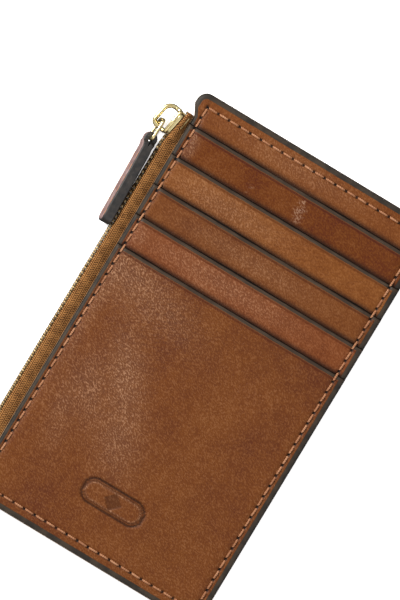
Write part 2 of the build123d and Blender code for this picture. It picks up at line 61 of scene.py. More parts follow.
BASE_LOW, BASE_HIGH = box_mm("pocket_base")
LEFT, RIGHT, END = BASE_LOW[0], BASE_HIGH[0], BASE_HIGH[1]
BOARD_UNDER, BOARD_TOP = BASE_LOW[2], BASE_HIGH[2]
STRIPS = ["top_strip"] + [f"card_pocket_{number}" for number in range(1, 5)] + ["front_panel"]
TAPE_INNER, TAPE_END = box_mm("zip_tape_front")[1][:2]
TEETH_OUTER = box_mm("zip_teeth_front")[0][0]

ZIP_RECESS = 2.0
MOUTH_END = TAPE_END + 0.2
EAR_SLOPE = 4.0
ZIP_EDGE = LEFT + ZIP_RECESS
CORNER = 4.0
GROW = 0.1                # the leather's skin stands this far outside the CAD outline
LEATHER = 1.0
BACK_LEATHER = 1.2
FLANGE_UNDER = 4.6
CEILING = FLANGE_UNDER + BACK_LEATHER
RIM_RUN = 5.0
SEAM_FLANGE_SIDE = 5.5
SEAM_FLANGE_END = 6.5
SLOT_FLAT = 3.0           # a strip stays level this far below its slot edge
SLOT_PITCH = 12.45
CARD_DEPTH = 50.0
PANEL_SETTLE = 55.0

STITCH_PITCH = 4.35
ZIP_SEAM_X = ZIP_EDGE + 2.8
SIDE_SEAM_X = RIGHT - 3.4
END_SEAM_Y = END - 4.7
BACK_SEAM_Y = END - SEAM_FLANGE_END - RIM_RUN
GROOVE = 0.24             # depth of the valley along a seam
HOLE_DEPTH = 0.3
EDGE_SETTLE = 0.3         # the front leather sinks by this much towards its outline

MARK_CENTRE = (0.1, -60.0)
MARK_HALF = (12.7, 5.1)
MARK_RADIUS = 5.0

TAPE = 0.5
CHAIN_HEIGHT = 4.3
TOOTH_OUTER_LEG = 1.1
TOOTH_INNER_LEG = 0.6
TOOTH_HALF_CHAIN = 2.15
TOOTH_HOOK = 0.65
TOOTH_CROTCH = 0.95
TOOTH_PITCH = 2.05
TOOTH_THICKNESS = 0.95
TEETH_PARTED = 1.3
TAPE_SHOULDER = 0.7
STOP_LENGTH = 0.8
STOP_GAP = 0.3
CHAIN_X = TEETH_OUTER + TOOTH_OUTER_LEG + TAPE / 2
CHAIN_TURN = radians(10.2)
CHAIN_TURN_Y = 60.15
CHAIN_RADIUS = 25.0
SLIDER_Y = 67.2
SLIDER_LENGTH = 10.2

JOINTS = {joint["name"]: joint for joint in frame["joints"]}
LINK_PIVOT = np.array(JOINTS["link_swing"]["pos_m"]) / MM
TAB_PIVOT = np.array(JOINTS["tab_swing"]["pos_m"]) / MM
PIVOT_AXIS = np.array(JOINTS["link_swing"]["axis"])


# ---------------------------------------------------------------- numbers


def spread(low, high, step, near=()):
    """Places from low to high whose gaps are step, or finer near each (place, reach, fine step).

    The gap's inverse is a density; places sit at equal shares of its running total.
    """
    where = np.linspace(low, high, 6000)
    density = np.full_like(where, 1 / step)
    for place, reach, fine in near:
        bump = np.clip(1.5 - np.abs(where - place) / reach, 0, 1)
        density = np.maximum(density, bump / fine)
    total = np.concatenate(([0], np.cumsum((density[1:] + density[:-1]) / 2 * np.diff(where))))
    count = int(np.ceil(total[-1])) + 1
    return np.interp(np.linspace(0, total[-1], count), total, where)


def smoothstep(value, low, high):
    """0 below low, 1 above high, and 3t² - 2t³ between."""
    share = np.clip((value - low) / (high - low), 0, 1)
    return share * share * (3 - 2 * share)


def quarter_round(distance, width):
    """Quarter ellipse: 1 at an edge, 0 from width inwards."""
    share = np.clip(distance / width, 0, 1)
    return 1 - np.sqrt(1 - (1 - share) ** 2)


def waves(x, y, seed, size, count=9):
    """Gentle unevenness: the mean of sines in random directions with wavelengths near size."""
    chance = np.random.default_rng(seed)
    total = np.zeros(np.broadcast(x, y).shape)
    for turn, phase, stretch in chance.uniform(0, 1, (count, 3)):
        k = 2 * pi / (size * (0.6 + 0.9 * stretch))
        total += np.sin(k * (x * cos(2 * pi * turn) + y * sin(2 * pi * turn)) + 2 * pi * phase)
    return total / count**0.5


def blob(x, y, centre, size, turn=0.0):
    """Soft oval patch: exp(-(a² + b²)) in its own turned and scaled axes."""
    dx, dy = x - centre[0], y - centre[1]
    along = (dx * cos(turn) + dy * sin(turn)) / size[0]
    across = (-dx * sin(turn) + dy * cos(turn)) / size[1]
    return np.exp(-(along**2) - across**2)


# ---------------------------------------------------------------- meshes


def turn_outwards(piece):
    """Makes every face of a closed piece face outwards."""
    work = bmesh.new()
    work.from_mesh(piece.data)
    bmesh.ops.recalc_face_normals(work, faces=work.faces[:])
    work.to_mesh(piece.data)
    work.free()


def mesh_object(name, points, faces, finish, body, slot, replaced=(), values=None, uv=None):
    """A piece from points in millimetres and arrays of faces, each array with one face size."""
    corners = np.concatenate([part.ravel() for part in faces]).astype(np.int32)
    sizes = np.concatenate([np.full(len(part), part.shape[1]) for part in faces])
    starts = np.concatenate(([0], np.cumsum(sizes)[:-1])).astype(np.int32)
    mesh = bpy.data.meshes.new(name)
    mesh.vertices.add(len(points))
    mesh.vertices.foreach_set("co", (np.asarray(points) * MM).astype(np.float32).ravel())
    mesh.loops.add(len(corners))
    mesh.loops.foreach_set("vertex_index", corners)
    mesh.polygons.add(len(sizes))
    mesh.polygons.foreach_set("loop_start", starts)
    mesh.polygons.foreach_set("use_smooth", np.ones(len(sizes), dtype=bool))
    mesh.update(calc_edges=True)
    for key, numbers in (values or {}).items():
        layer = mesh.attributes.new(key, "FLOAT", "POINT")
        layer.data.foreach_set("value", np.asarray(numbers, dtype=np.float32).ravel())
    if uv is not None:
        layer = mesh.uv_layers.new(name="UVMap")
        layer.data.foreach_set("uv", uv[corners].astype(np.float32).ravel())
    mesh.validate()
    mesh.materials.append(finish)
    piece = bpy.data.objects.new(name, mesh)
    bpy.context.scene.collection.objects.link(piece)
    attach(piece, body)
    if replaced:
        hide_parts(*replaced)
    return piece


def closed_piece(*about, **more):
    """A mesh_object whose faces are all turned outwards."""
    turn_outwards(mesh_object(*about, **more))


def grid_quads(rows, columns, start=0):
    """Quads of a grid of points stored row by row, facing up when X grows along a row."""
    index = start + np.arange(rows * columns).reshape(rows, columns)
    sides = (index[:-1, :-1], index[:-1, 1:], index[1:, 1:], index[1:, :-1])
    return np.stack([side.ravel() for side in sides], axis=1)


def sheet_faces(rows, columns):
    """Faces of a closed sheet whose upper and lower points are two grids, one after the other."""
    count = rows * columns
    index = np.arange(count).reshape(rows, columns)
    border = np.concatenate([index[0, :-1], index[:-1, -1], index[-1, :0:-1], index[:0:-1, 0]])
    following = np.roll(border, -1)
    wall = np.stack([border + count, following + count, following, border], axis=1)
    return [grid_quads(rows, columns), grid_quads(rows, columns, count)[:, ::-1], wall]


def shell(x, y, top, under):
    """Closed sheet between two heights over one grid; returns its points and its faces."""
    layers = [np.stack([x, y, level], axis=-1).reshape(-1, 3) for level in (top, under)]
    return np.concatenate(layers), sheet_faces(*top.shape)


def ring_faces(rings, around, closed=False, start=0):
    """Faces of rings of points that run one after another, with a cap at each end."""
    index = start + np.arange(rings * around).reshape(rings, around)
    if closed:
        index = np.concatenate([index, index[:1]])
    turned = np.roll(index, -1, axis=1)
    sides = (index[:-1], turned[:-1], turned[1:], index[1:])
    faces = [np.stack([side.ravel() for side in sides], axis=1)]
    if not closed:
        faces += [index[:1, ::-1], index[-1:]]
    return faces


def repeated(faces, copies, points_each):
    """The faces of one form, once for each of its copies."""
    starts = np.arange(copies)[:, None, None] * points_each
    return [(part[None] + starts).reshape(-1, part.shape[1]) for part in faces]


def joined(parts):
    """Points and faces of several closed forms, as one."""
    points, faces, start = [], [], 0
    for own_points, own_faces in parts:
        points.append(own_points)
        faces += [part + start for part in own_faces]
        start += len(own_points)
    return np.concatenate(points), faces


def normals_of(outline):
    """Outward normals of a closed outline that turns anticlockwise."""
    along = np.roll(outline, -1, axis=0) - np.roll(outline, 1, axis=0)
    out = np.stack([along[:, 1], -along[:, 0]], axis=1)
    return out / np.linalg.norm(out, axis=1, keepdims=True)


def path_normals(line):
    """Unit normals to the right of an open line in a plane, one at each point."""
    tangent = np.gradient(line, axis=-2)
    tangent /= np.linalg.norm(tangent, axis=-1, keepdims=True)
    return np.stack([tangent[..., 1], -tangent[..., 0]], axis=-1)


def rounded(corners, radius, steps=6, closed=True):
    """Outline or path through corners, each corner replaced by an arc that touches both sides."""
    corners = np.asarray(corners, float)
    radii = np.broadcast_to(radius, len(corners))
    pieces = []
    for number, corner in enumerate(corners):
        if not closed and number in (0, len(corners) - 1):
            pieces.append(corner[None])
            continue
        before = corners[number - 1] - corner
        after = corners[(number + 1) % len(corners)] - corner
        before /= np.linalg.norm(before)
        after /= np.linalg.norm(after)
        half = np.arccos(np.clip(before @ after, -1, 1)) / 2
        reach = radii[number] / np.tan(half)
        inwards = (before + after) / np.linalg.norm(before + after)
        middle = corner + inwards * radii[number] / sin(half)
        first = corner + before * reach - middle
        last = corner + after * reach - middle
        sweep = pi - 2 * half
        share = np.linspace(0, 1, steps)[:, None]
        arc = np.sin((1 - share) * sweep) * first + np.sin(share * sweep) * last
        pieces.append(middle + arc / sin(sweep))
    return np.concatenate(pieces)


def placed(flat, height, origin, x_dir, y_dir, z_dir):
    """Points of a plane's own (x, y) at a height over it, in the object's frame."""
    height = np.broadcast_to(height, flat.shape[:-1])
    return origin + flat[..., :1] * x_dir + flat[..., 1:] * y_dir + height[..., None] * z_dir


def stack(outline, levels, plane):
    """Closed form over an outline: each (height, inset) level is the outline drawn in by inset."""
    out = normals_of(outline)
    rings = [placed(outline - out * inset, height, *plane) for height, inset in levels]
    return np.concatenate(rings), ring_faces(len(levels), len(outline))


def bevelled(low, high, bevel):
    """Levels of a plate with rounded rims, for stack."""
    turn = np.linspace(0, pi / 2, 4)
    bottom = [(low + bevel * (1 - sin(a)), bevel * (1 - cos(a))) for a in turn[::-1]]
    top = [(high - bevel * (1 - sin(a)), bevel * (1 - cos(a))) for a in turn]
    return bottom + top


def tube(path, across, along_axis, section, closed=False):
    """Section carried along a path: path + across * u + along_axis * v for each (u, v)."""
    across = np.broadcast_to(across, path.shape)[:, None]
    along_axis = np.broadcast_to(along_axis, path.shape)[:, None]
    section = np.broadcast_to(section, (len(path), *section.shape[-2:]))
    points = path[:, None] + across * section[..., :1] + along_axis * section[..., 1:]
    return points.reshape(-1, 3), ring_faces(len(path), section.shape[1], closed)


def oval(u, v, count, power=2.0):
    """Superellipse |x/u|^p + |y/v|^p = 1, anticlockwise."""
    angle = np.linspace(0, 2 * pi, count, endpoint=False)
    c, s = np.cos(angle), np.sin(angle)
    shape = [u * np.sign(c) * np.abs(c) ** (2 / power), v * np.sign(s) * np.abs(s) ** (2 / power)]
    return np.stack(shape, axis=1)


# ---------------------------------------------------------------- shader sockets


class Signal:
    """A number or colour in a material; arithmetic on it adds Math nodes."""

    def __init__(self, finish, socket):
        self.finish = finish
        self.socket = socket

    def math(self, operation, *others):
        inputs = dict(enumerate((self, *others)))
        return self.finish.node("ShaderNodeMath", inputs, {"operation": operation})

    def __add__(self, other):
        return self.math("ADD", other)

    def __sub__(self, other):
        return self.math("SUBTRACT", other)

    def __mul__(self, other):
        return self.math("MULTIPLY", other)

    def __truediv__(self, other):
        return self.math("DIVIDE", other)

    def __rsub__(self, other):
        return (self * -1) + other

    __radd__ = __add__
    __rmul__ = __mul__

    def between(self, low, high):
        """0 at low, 1 at high, smooth between; high may be the smaller."""
        inputs = {0: self, 1: low, 2: high}
        return self.finish.node("ShaderNodeMapRange", inputs, {"interpolation_type": "SMOOTHSTEP"})


class Finish:
    """One material and the means to add nodes to it."""

    def __init__(self, name):
        self.material = bpy.data.materials.new(name)
        self.material.use_nodes = True
        self.tree = self.material.node_tree
        self.tree.nodes.clear()

    def node(self, kind, inputs=None, settings=None, output=0):
        """Adds a node: settings first, then the values or links of its sockets."""
        made = self.tree.nodes.new(kind)
        for key, setting in (settings or {}).items():
            if key == "stops":
                self.stops(made.color_ramp.elements, setting)
            else:
                setattr(made, key, setting)
        for key, value in (inputs or {}).items():
            socket = made.inputs[key]
            if isinstance(value, Signal):
                self.tree.links.new(value.socket, socket)
            elif isinstance(value, tuple) and socket.type == "RGBA":
                socket.default_value = (*value, 1.0)
            else:
                socket.default_value = value
        return Signal(self, made.outputs[output])

    def stops(self, elements, stops):
        while len(elements) < len(stops):
            elements.new(0.5)
        for element, (place, colour) in zip(elements, stops):
            element.position = place
            element.color = (*colour, 1.0)

    def mix(self, share, first, second, blend="MIX"):
        """Colour mix: first at share 0, second at share 1."""
        settings = {"data_type": "RGBA", "blend_type": blend}
        return self.node("ShaderNodeMix", {0: share, 6: first, 7: second}, settings, 2)

    def place(self, shift=(0, 0, 0), turn=0.0, stretch=(1, 1, 1)):
        """Object coordinates in millimetres, shifted, turned in plan and stretched."""
        where = self.node("ShaderNodeTexCoord", output="Object")
        inputs = {
            "Vector": where,
            "Location": tuple(part * MM for part in shift),
            "Rotation": (0, 0, turn),
            "Scale": tuple(MM / share for share in stretch),
        }
        return self.node("ShaderNodeMapping", inputs, {"vector_type": "TEXTURE"})

    def noise(self, where, size, detail=2.0, rough=0.5):
        """Noise about 0.5 with features of about size millimetres."""
        inputs = {"Vector": where, "Scale": 1 / size, "Detail": detail, "Roughness": rough}
        return self.node("ShaderNodeTexNoise", inputs)

    def moved(self, where, size, reach):
        """The same place, pushed about by up to reach millimetres of coloured noise."""
        inputs = {"Vector": where, "Scale": 1 / size, "Detail": 1.0}
        push = self.node("ShaderNodeTexNoise", inputs, output="Color")
        scaled = self.node("ShaderNodeVectorMath", {0: push, 3: 2 * reach}, {"operation": "SCALE"})
        return self.node("ShaderNodeVectorMath", {0: where, 1: scaled}, {"operation": "ADD"})

    def cells(self, where, size):
        """Cell pattern that is 0 on the valleys and grows inwards."""
        inputs = {"Vector": where, "Scale": 1 / size}
        return self.node("ShaderNodeTexVoronoi", inputs, {"feature": "DISTANCE_TO_EDGE"})

    def ramp(self, tone, *stops):
        """Colour from a number, by (place, colour) stops."""
        return self.node("ShaderNodeValToRGB", {0: tone}, {"stops": stops})

    def read(self, key):
        """A number stored on the mesh's points."""
        return self.node("ShaderNodeAttribute", None, {"attribute_name": key}, "Fac")

    def axes(self, vector):
        """X, Y and Z of a vector as three numbers."""
        first = self.node("ShaderNodeSeparateXYZ", {0: vector})
        outputs = first.socket.node.outputs
        return [Signal(self, outputs[index]) for index in range(3)]

    def bump(self, height, strength=1.0):
        """Normal from a height in millimetres."""
        inputs = {"Height": height, "Strength": strength, "Distance": MM}
        return self.node("ShaderNodeBump", inputs)

    def done(self, **sockets):
        """Puts the surface on the material and returns it."""
        inputs = {key.replace("_", " "): value for key, value in sockets.items()}
        surface = self.node("ShaderNodeBsdfPrincipled", inputs)
        last = self.tree.nodes.new("ShaderNodeOutputMaterial")
        self.tree.links.new(surface.socket, last.inputs["Surface"])
        return self.material


def srgb(red, green, blue, light=1.0):
    """Linear colour from 0-255 screen values, divided by the light that falls on it."""
    channels = np.array([red, green, blue]) / 255
    linear = np.where(channels > 0.04045, ((channels + 0.055) / 1.055) ** 2.4, channels / 12.92)
    return tuple(float(channel) for channel in linear / light)


# ---------------------------------------------------------------- finishes

LIGHT = 1.48              # screen brightness of a white surface that lies flat
GLOSS = 0.0165            # brightness that the sheen adds to leather


def leather_colour(red, green, blue):
    """Base colour that shows as the given screen colour under the lights."""
    return tuple(max(channel - GLOSS, 0.002) / LIGHT for channel in srgb(red, green, blue))


def leather(name, dark, middle, light, seed):
    """Waxed leather: cloudy tone, pebbled cells, fine pores, creases, painted and worn edges.

    Height = pebbles + pores + creases in mm. The attributes edge and lip are 0 on an edge and
    grow inwards, edge to 1 where the paint stops and lip in millimetres from a slot edge.
    """
    f = Finish(name)
    where = f.place(shift=(seed * 13.7, seed * 7.3, seed * 3.1))
    clouds = f.noise(where, 24.0, 2.0)
    mottle = f.noise(where, 5.0, 4.0, 0.6)
    specks = f.noise(where, 0.75, 3.0, 0.65)
    tick_at = f.place(shift=(seed * 5.0, 0, 0), turn=-0.59, stretch=(0.5, 1.0, 1.0))
    ticks = f.noise(f.moved(tick_at, 2.2, 0.4), 0.42, 2.0, 0.6)
    raised = ticks.between(0.40, 0.62)
    glints = ticks.between(0.53, 0.63)
    valley_shade = ticks.between(0.49, 0.38)
    pebbles = f.cells(f.moved(tick_at, 1.3, 0.4), 0.8).between(0.0, 0.3)
    pores = f.noise(where, 0.26, 2.0)
    ridge_at = f.moved(f.place(turn=0.4, stretch=(0.2, 1.0, 1.0)), 5.0, 1.8)
    ridges = f.noise(ridge_at, 1.3, 2.0, 0.55)
    lines = (ridges - 0.5).math("ABSOLUTE").between(0.07, 0.0)
    creases = lines * f.read("crease")
    tone = clouds * 0.5 + mottle * 0.36 + specks * 0.34 + raised * 0.18 - 0.23
    tone = tone - creases * 0.16
    colour = f.ramp(tone, (0.16, dark), (0.5, middle), (0.86, light))
    # Painted highlight: patches of pale sheen from the mesh lighten the colour. The same patches
    # strengthen the painted valley shade and the glints below, and deepen the grain's relief.
    bloom = f.read("bloom")
    colour = f.mix(bloom * 0.27, colour, leather_colour(190, 146, 116))
    # Painted shade: the grain's valleys darkened, most within the patches of painted highlight.
    colour = f.mix(valley_shade * (bloom * 0.52 + 0.07), colour, tuple(part * 0.8 for part in dark))
    colour = f.mix(glints * (bloom * 0.56 + 0.02), colour, leather_colour(214, 166, 132))
    # Scuffs, partly painted highlight: pale rubbed marks and painted glints of light, in patches.
    scuff = f.read("scuff") * (ridges * 1.6 - 0.3) * (raised * 0.9 + 0.35)
    colour = f.mix(scuff.between(0.08, 0.75) * 0.8, colour, leather_colour(205, 168, 142))
    wobble = (mottle - 0.5) * 0.3 + (specks - 0.5) * 0.12
    lip = f.read("lip") + wobble
    edge = f.read("edge") + wobble * 0.35
    groove = lip.between(2.7, 2.2) * lip.between(1.45, 1.9)
    colour = f.mix(groove * 0.75, colour, tuple(part * 0.85 for part in dark))
    worn = lip.between(1.85, 1.6) * lip.between(1.2, 1.45)
    colour = f.mix(worn * 0.55, colour, leather_colour(118, 82, 56))
    colour = f.mix(f.read("shade"), colour, srgb(34, 12, 2, LIGHT))
    paint = f.mix(mottle.between(0.35, 0.65), srgb(50, 44, 38, LIGHT), srgb(72, 61, 50, LIGHT))
    paint = f.mix(edge.between(0.5, 0.0) * 0.6, paint, srgb(52, 52, 52, LIGHT))
    paint = f.mix(lip.between(2.0, 1.0) * 0.6, paint, srgb(68, 52, 40, LIGHT))
    streak = f.noise(f.place(stretch=(0.12, 2.2, 1.0)), 0.8, 2.0).between(0.5, 0.7)
    paint = f.mix(streak * lip.between(3.0, 1.0) * 0.35, paint, srgb(104, 90, 74, LIGHT))
    painted = lip.between(1.56, 1.36).math("MAXIMUM", edge.between(1.04, 0.94))
    colour = f.mix(painted, colour, paint)
    # Painted shade: a near-black line at the foot of each slot edge, where it meets the sheet below.
    colour = f.mix(lip.between(0.5, 0.25), colour, srgb(20, 12, 8, LIGHT))
    # Painted shade: the stitch holes darkened to near black.
    colour = f.mix(f.read("hole"), colour, srgb(16, 5, 2, LIGHT))
    bare = 1 - painted
    relief = raised * (bloom * 0.09 + 0.035) + pebbles * 0.016
    height = relief + pores * 0.012 + specks * 0.03
    height = (height - creases * 0.05 + mottle * 0.06) * bare + f.noise(where, 1.6, 2.0) * 0.02
    rough = mottle * 0.2 + specks * 0.12 + painted * 0.06 + 0.28
    return f.done(
        Base_Color=colour,
        Roughness=rough,
        Specular_IOR_Level=0.14,
        Normal=f.bump(height),
    )


def woven_tape(name):
    """Herringbone tape: twill lines that change direction every few threads across.

    With a along and b across the tape in mm, a line's phase is a / pitch + zigzag(b) * lean.
    """
    f = Finish(name)
    along, across, _ = f.axes(f.node("ShaderNodeTexCoord", output="UV"))
    drift = f.noise(f.place(), 3.0, 2.0) - 0.5
    zigzag = (across + drift * 0.12).math("PINGPONG", 0.92)
    phase = along / 0.72 + zigzag * 1.1 + drift * 0.2
    twill = (phase * (2 * pi)).math("SINE") * 0.5 + 0.5
    threads = (across * (2 * pi / 0.34)).math("SINE") * 0.5 + 0.5
    fibre = f.noise(f.place(), 0.22, 2.0)
    tone = twill * 0.62 + threads * 0.16 + fibre * 0.6 + drift * 0.5 - 0.18
    dark, middle, light = ((44, 22, 8), (128, 80, 42), (212, 150, 86))
    stops = zip((0.25, 0.5, 0.78), (srgb(*part, LIGHT) for part in (dark, middle, light)))
    colour = f.ramp(tone, *stops)
    height = twill * 0.12 + threads * 0.03 + fibre * 0.05
    return f.done(
        Base_Color=colour,
        Roughness=fibre * 0.1 + 0.72,
        Specular_IOR_Level=0.1,
        Normal=f.bump(height),
    )


def waxed_thread(name):
    """Tan twisted thread: tone that varies in broad patches, and fine fibres."""
    f = Finish(name)
    where = f.place()
    fibre = f.noise(f.moved(where, 0.5, 0.1), 0.16, 3.0)
    shade = f.noise(where, 7.0, 2.0)
    tone = fibre * 0.6 + shade * 0.7 - 0.15
    dark, middle, light = ((140, 84, 52), (192, 132, 92), (222, 172, 134))
    stops = zip((0.15, 0.5, 0.9), (srgb(*part, LIGHT) for part in (dark, middle, light)))
    colour = f.ramp(tone, *stops)
    return f.done(
        Base_Color=colour,
        Roughness=fibre * 0.15 + 0.5,
        Specular_IOR_Level=0.3,
        Normal=f.bump(fibre * 0.06),
    )


def plated(name, colour, dull, rough, streak):
    """Polished metal: faint clouding, hairline streaks and a duller tone in patches."""
    f = Finish(name)
    where = f.place()
    cloud = f.noise(where, 2.6, 3.0)
    hair = f.noise(f.place(turn=0.4, stretch=(0.25, 3.0, 1.0)), 0.5, 2.0)
    tint = f.mix(cloud.between(0.4, 0.68), colour, dull)
    return f.done(
        Base_Color=tint,
        Metallic=1.0,
        Roughness=cloud * 0.12 + hair * 0.06 + rough,
        Normal=f.bump(hair * streak + cloud * streak * 2),
    )


def lining_cloth(name):
    """Plain weave cloth: two sets of threads at right angles, over and under."""
    f = Finish(name)
    where = f.moved(f.place(), 4.0, 0.15)
    x, y, _ = f.axes(where)
    warp = (x * (2 * pi / 0.42)).math("SINE")
    weft = (y * (2 * pi / 0.42)).math("SINE")
    weave = warp * weft * 0.5 + 0.5
    fibre = f.noise(f.place(), 0.3, 3.0)
    tone = weave * 0.55 + fibre * 0.5 - 0.05
    colour = f.ramp(tone, (0.15, srgb(58, 42, 32)), (0.8, srgb(104, 82, 64)))
    return f.done(
        Base_Color=colour,
        Roughness=fibre * 0.1 + 0.8,
        Specular_IOR_Level=0.2,
        Normal=f.bump(weave * 0.08 + fibre * 0.03),
    )


def stiff_board(name):
    """Pressed board: pale fibres of mixed length with darker flecks."""
    f = Finish(name)
    fibre = f.noise(f.place(stretch=(0.4, 1.6, 1.0)), 0.7, 4.0, 0.65)
    fleck = f.noise(f.place(), 0.5, 2.0).between(0.62, 0.7)
    colour = f.mix(fibre.between(0.3, 0.7), srgb(122, 98, 74), srgb(164, 138, 108))
    colour = f.mix(fleck * 0.5, colour, srgb(80, 60, 44))
    return f.done(Base_Color=colour, Roughness=fibre * 0.1 + 0.82, Normal=f.bump(fibre * 0.06))


def tab_leather(name):
    """Tab leather: pinkish brown faces with painted highlight streaks, and a dark painted edge."""
    f = Finish(name)
    where = f.place()
    mottle = f.noise(where, 2.4, 4.0, 0.6)
    streak = f.noise(f.moved(f.place(stretch=(1.0, 0.16, 1.0)), 1.2, 0.4), 0.7, 3.0)
    pores = f.noise(where, 0.3, 2.0)
    # Painted highlight: the pale streaks and the palest tones of the ramp stand for sheen along the
    # faces.
    tone = mottle * 0.5 + streak * 0.7 - 0.08
    dark, middle, light = ((92, 60, 54), (152, 118, 112), (214, 190, 186))
    stops = zip((0.2, 0.5, 0.8), (leather_colour(*part) for part in (dark, middle, light)))
    colour = f.ramp(tone, *stops)
    edge = f.read("edge") + (mottle - 0.5) * 0.2
    paint = f.mix(mottle.between(0.35, 0.65), srgb(38, 36, 36, LIGHT), srgb(60, 54, 50, LIGHT))
    painted = edge.between(1.05, 0.85)
    colour = f.mix(painted, colour, paint)
    height = (mottle * 0.08 + streak * 0.05 + pores * 0.02) * (1 - painted) + mottle * 0.04
    return f.done(
        Base_Color=colour,
        Roughness=mottle * 0.2 + 0.3,
        Specular_IOR_Level=0.4,
        Normal=f.bump(height),
    )


STRIP_TONES = {
    "top_strip": ((104, 58, 30), (132, 79, 44), (156, 104, 66)),
    "card_pocket_1": ((90, 46, 24), (118, 68, 37), (144, 92, 58)),
    "card_pocket_2": ((112, 64, 32), (142, 88, 49), (166, 113, 71)),
    "card_pocket_3": ((98, 55, 29), (126, 76, 44), (150, 100, 64)),
    "card_pocket_4": ((106, 57, 32), (137, 80, 49), (162, 108, 74)),
    "front_panel": ((96, 52, 24), (122, 71, 38), (146, 94, 56)),
}
FINISHES = {
    name: leather(
        f"waxed_leather_{name}",
        *[leather_colour(*tone) for tone in tones],
        seed=number + 1.0,
    )
    for number, (name, tones) in enumerate(STRIP_TONES.items())
}
BACK_LEATHER_FINISH = leather(
    "waxed_leather_back",
    leather_colour(100, 58, 34),
    leather_colour(128, 80, 49),
    leather_colour(150, 98, 64),
    seed=9.0,
)
TAPE_FINISH = woven_tape("herringbone_tape")
THREAD_FINISH = waxed_thread("tan_thread")
GOLD = plated("pale_gold", (0.76, 0.64, 0.34), (0.52, 0.41, 0.18), 0.18, 0.006)
BRASS = plated("antique_brass", (0.31, 0.23, 0.12), (0.17, 0.11, 0.05), 0.40, 0.008)
CLOTH = lining_cloth("brown_lining")
BOARD = stiff_board("pressed_board")
TAB_FINISH = tab_leather("tab_leather")


# ---------------------------------------------------------------- outline


def left_edge(y):
    """X of the zip side: set in along the mouth, sloping back out to the corners."""
    out = np.clip((np.abs(y) - MOUTH_END) / EAR_SLOPE, 0, 1)
    return LEFT - GROW * out + (ZIP_RECESS + 0.08) * (1 - out)


def corner_pull(y):
    """How far a corner's arc pulls the sides in: R - sqrt(R² - t²) within R of an end."""
    radius = CORNER + GROW
    past = np.clip(np.abs(y) - (END + GROW - radius), 0, radius)
    return radius - np.sqrt(radius**2 - past**2)


def outline_distance(x, y):
    """Distance in from the outline, as (edge share, plain distance).

    The share is 1 where the edge paint stops, which is nearer the edge on the zip side.
    """
    from_left = x - left_edge(y)
    from_right = RIGHT + GROW - x
    from_end = END + GROW - np.abs(y)
    beyond_x = np.abs(x) - (RIGHT - CORNER)
    beyond_y = np.abs(y) - (END - CORNER)
    corner = CORNER + GROW - np.hypot(np.maximum(beyond_x, 0), np.maximum(beyond_y, 0))
    corner = corner - np.minimum(np.maximum(beyond_x, beyond_y), 0)
    plain = np.minimum(np.minimum(from_left, corner), np.minimum(from_right, from_end))
    share = np.minimum(from_left / 1.45, from_right / 1.95)
    share = np.minimum(share, np.minimum(from_end / 2.15, corner / 2.0))
    return share, plain


def body_grid(rows, step, near_x=()):
    """Plan grid whose side columns follow the outline and whose middle columns are straight."""
    seams = [(LEFT + ZIP_RECESS, 2.4, 0.22), (ZIP_SEAM_X, 0.9, 0.26)]
    seams += [(SIDE_SEAM_X, 0.9, 0.26), (RIGHT, 3.0, 0.3)]
    low, high = ZIP_EDGE - GROW, RIGHT + GROW
    columns = spread(low, high, step, seams + list(near_x))
    y = np.repeat(rows[:, None], len(columns), axis=1)
    pull = corner_pull(y)
    left = np.maximum(left_edge(y), LEFT - GROW + pull)
    right = high - pull
    x = columns + (left - low) * (1 - smoothstep(columns, low + 6, 25))
    x = x + (right - high) * smoothstep(columns, -25, high - 6)
    return x, y


# ---------------------------------------------------------------- stitch rows


# Where each row of stitches starts and ends.
ROWS = {
    "top": ((ZIP_SEAM_X, END_SEAM_Y), (SIDE_SEAM_X, END_SEAM_Y)),
    "bottom": ((ZIP_SEAM_X, -END_SEAM_Y), (SIDE_SEAM_X, -END_SEAM_Y)),
    "side": ((SIDE_SEAM_X, -END_SEAM_Y), (SIDE_SEAM_X, END_SEAM_Y)),
    "zip": ((ZIP_SEAM_X, -END_SEAM_Y), (ZIP_SEAM_X, END_SEAM_Y)),
    "zip_back": ((ZIP_SEAM_X, -BACK_SEAM_Y), (ZIP_SEAM_X, BACK_SEAM_Y)),
}
FRONT_ROWS = ("top", "bottom", "side", "zip")
BACK_ROWS = ("top", "bottom", "side", "zip_back")


def row_holes(name):
    """Plan places of a row's holes, evenly from its start to its end."""
    start, end = np.array(ROWS[name])
    count = round(np.linalg.norm(end - start) / STITCH_PITCH)
    return start + (end - start) * np.linspace(0, 1, count + 1)[:, None]


def seam_marks(x, y, names):
    """(groove, hole) near the rows: a soft valley along each row and a pit at each hole."""
    groove = np.zeros_like(x)
    hole = np.zeros_like(x)
    for name in names:
        holes = row_holes(name)
        start, end = holes[0], holes[-1]
        length = np.linalg.norm(end - start)
        along_dir = (end - start) / length
        along = (x - start[0]) * along_dir[0] + (y - start[1]) * along_dir[1]
        across = (x - start[0]) * -along_dir[1] + (y - start[1]) * along_dir[0]
        inside = smoothstep(along, -1.2, 0.2) * smoothstep(length - along, -1.2, 0.2)
        groove = np.maximum(groove, np.exp(-((across / 0.85) ** 2)) * inside)
        pitch = length / (len(holes) - 1)
        nearest = np.clip(np.round(along / pitch), 0, len(holes) - 1) * pitch
        outer = 0.26 if name == "zip" else 0.0
        gap = np.hypot((along - nearest) / 0.68, (across - outer) / 0.54)
        hole = np.maximum(hole, smoothstep(gap, 1.25, 0.75))
    return groove, hole


# ---------------------------------------------------------------- front leather


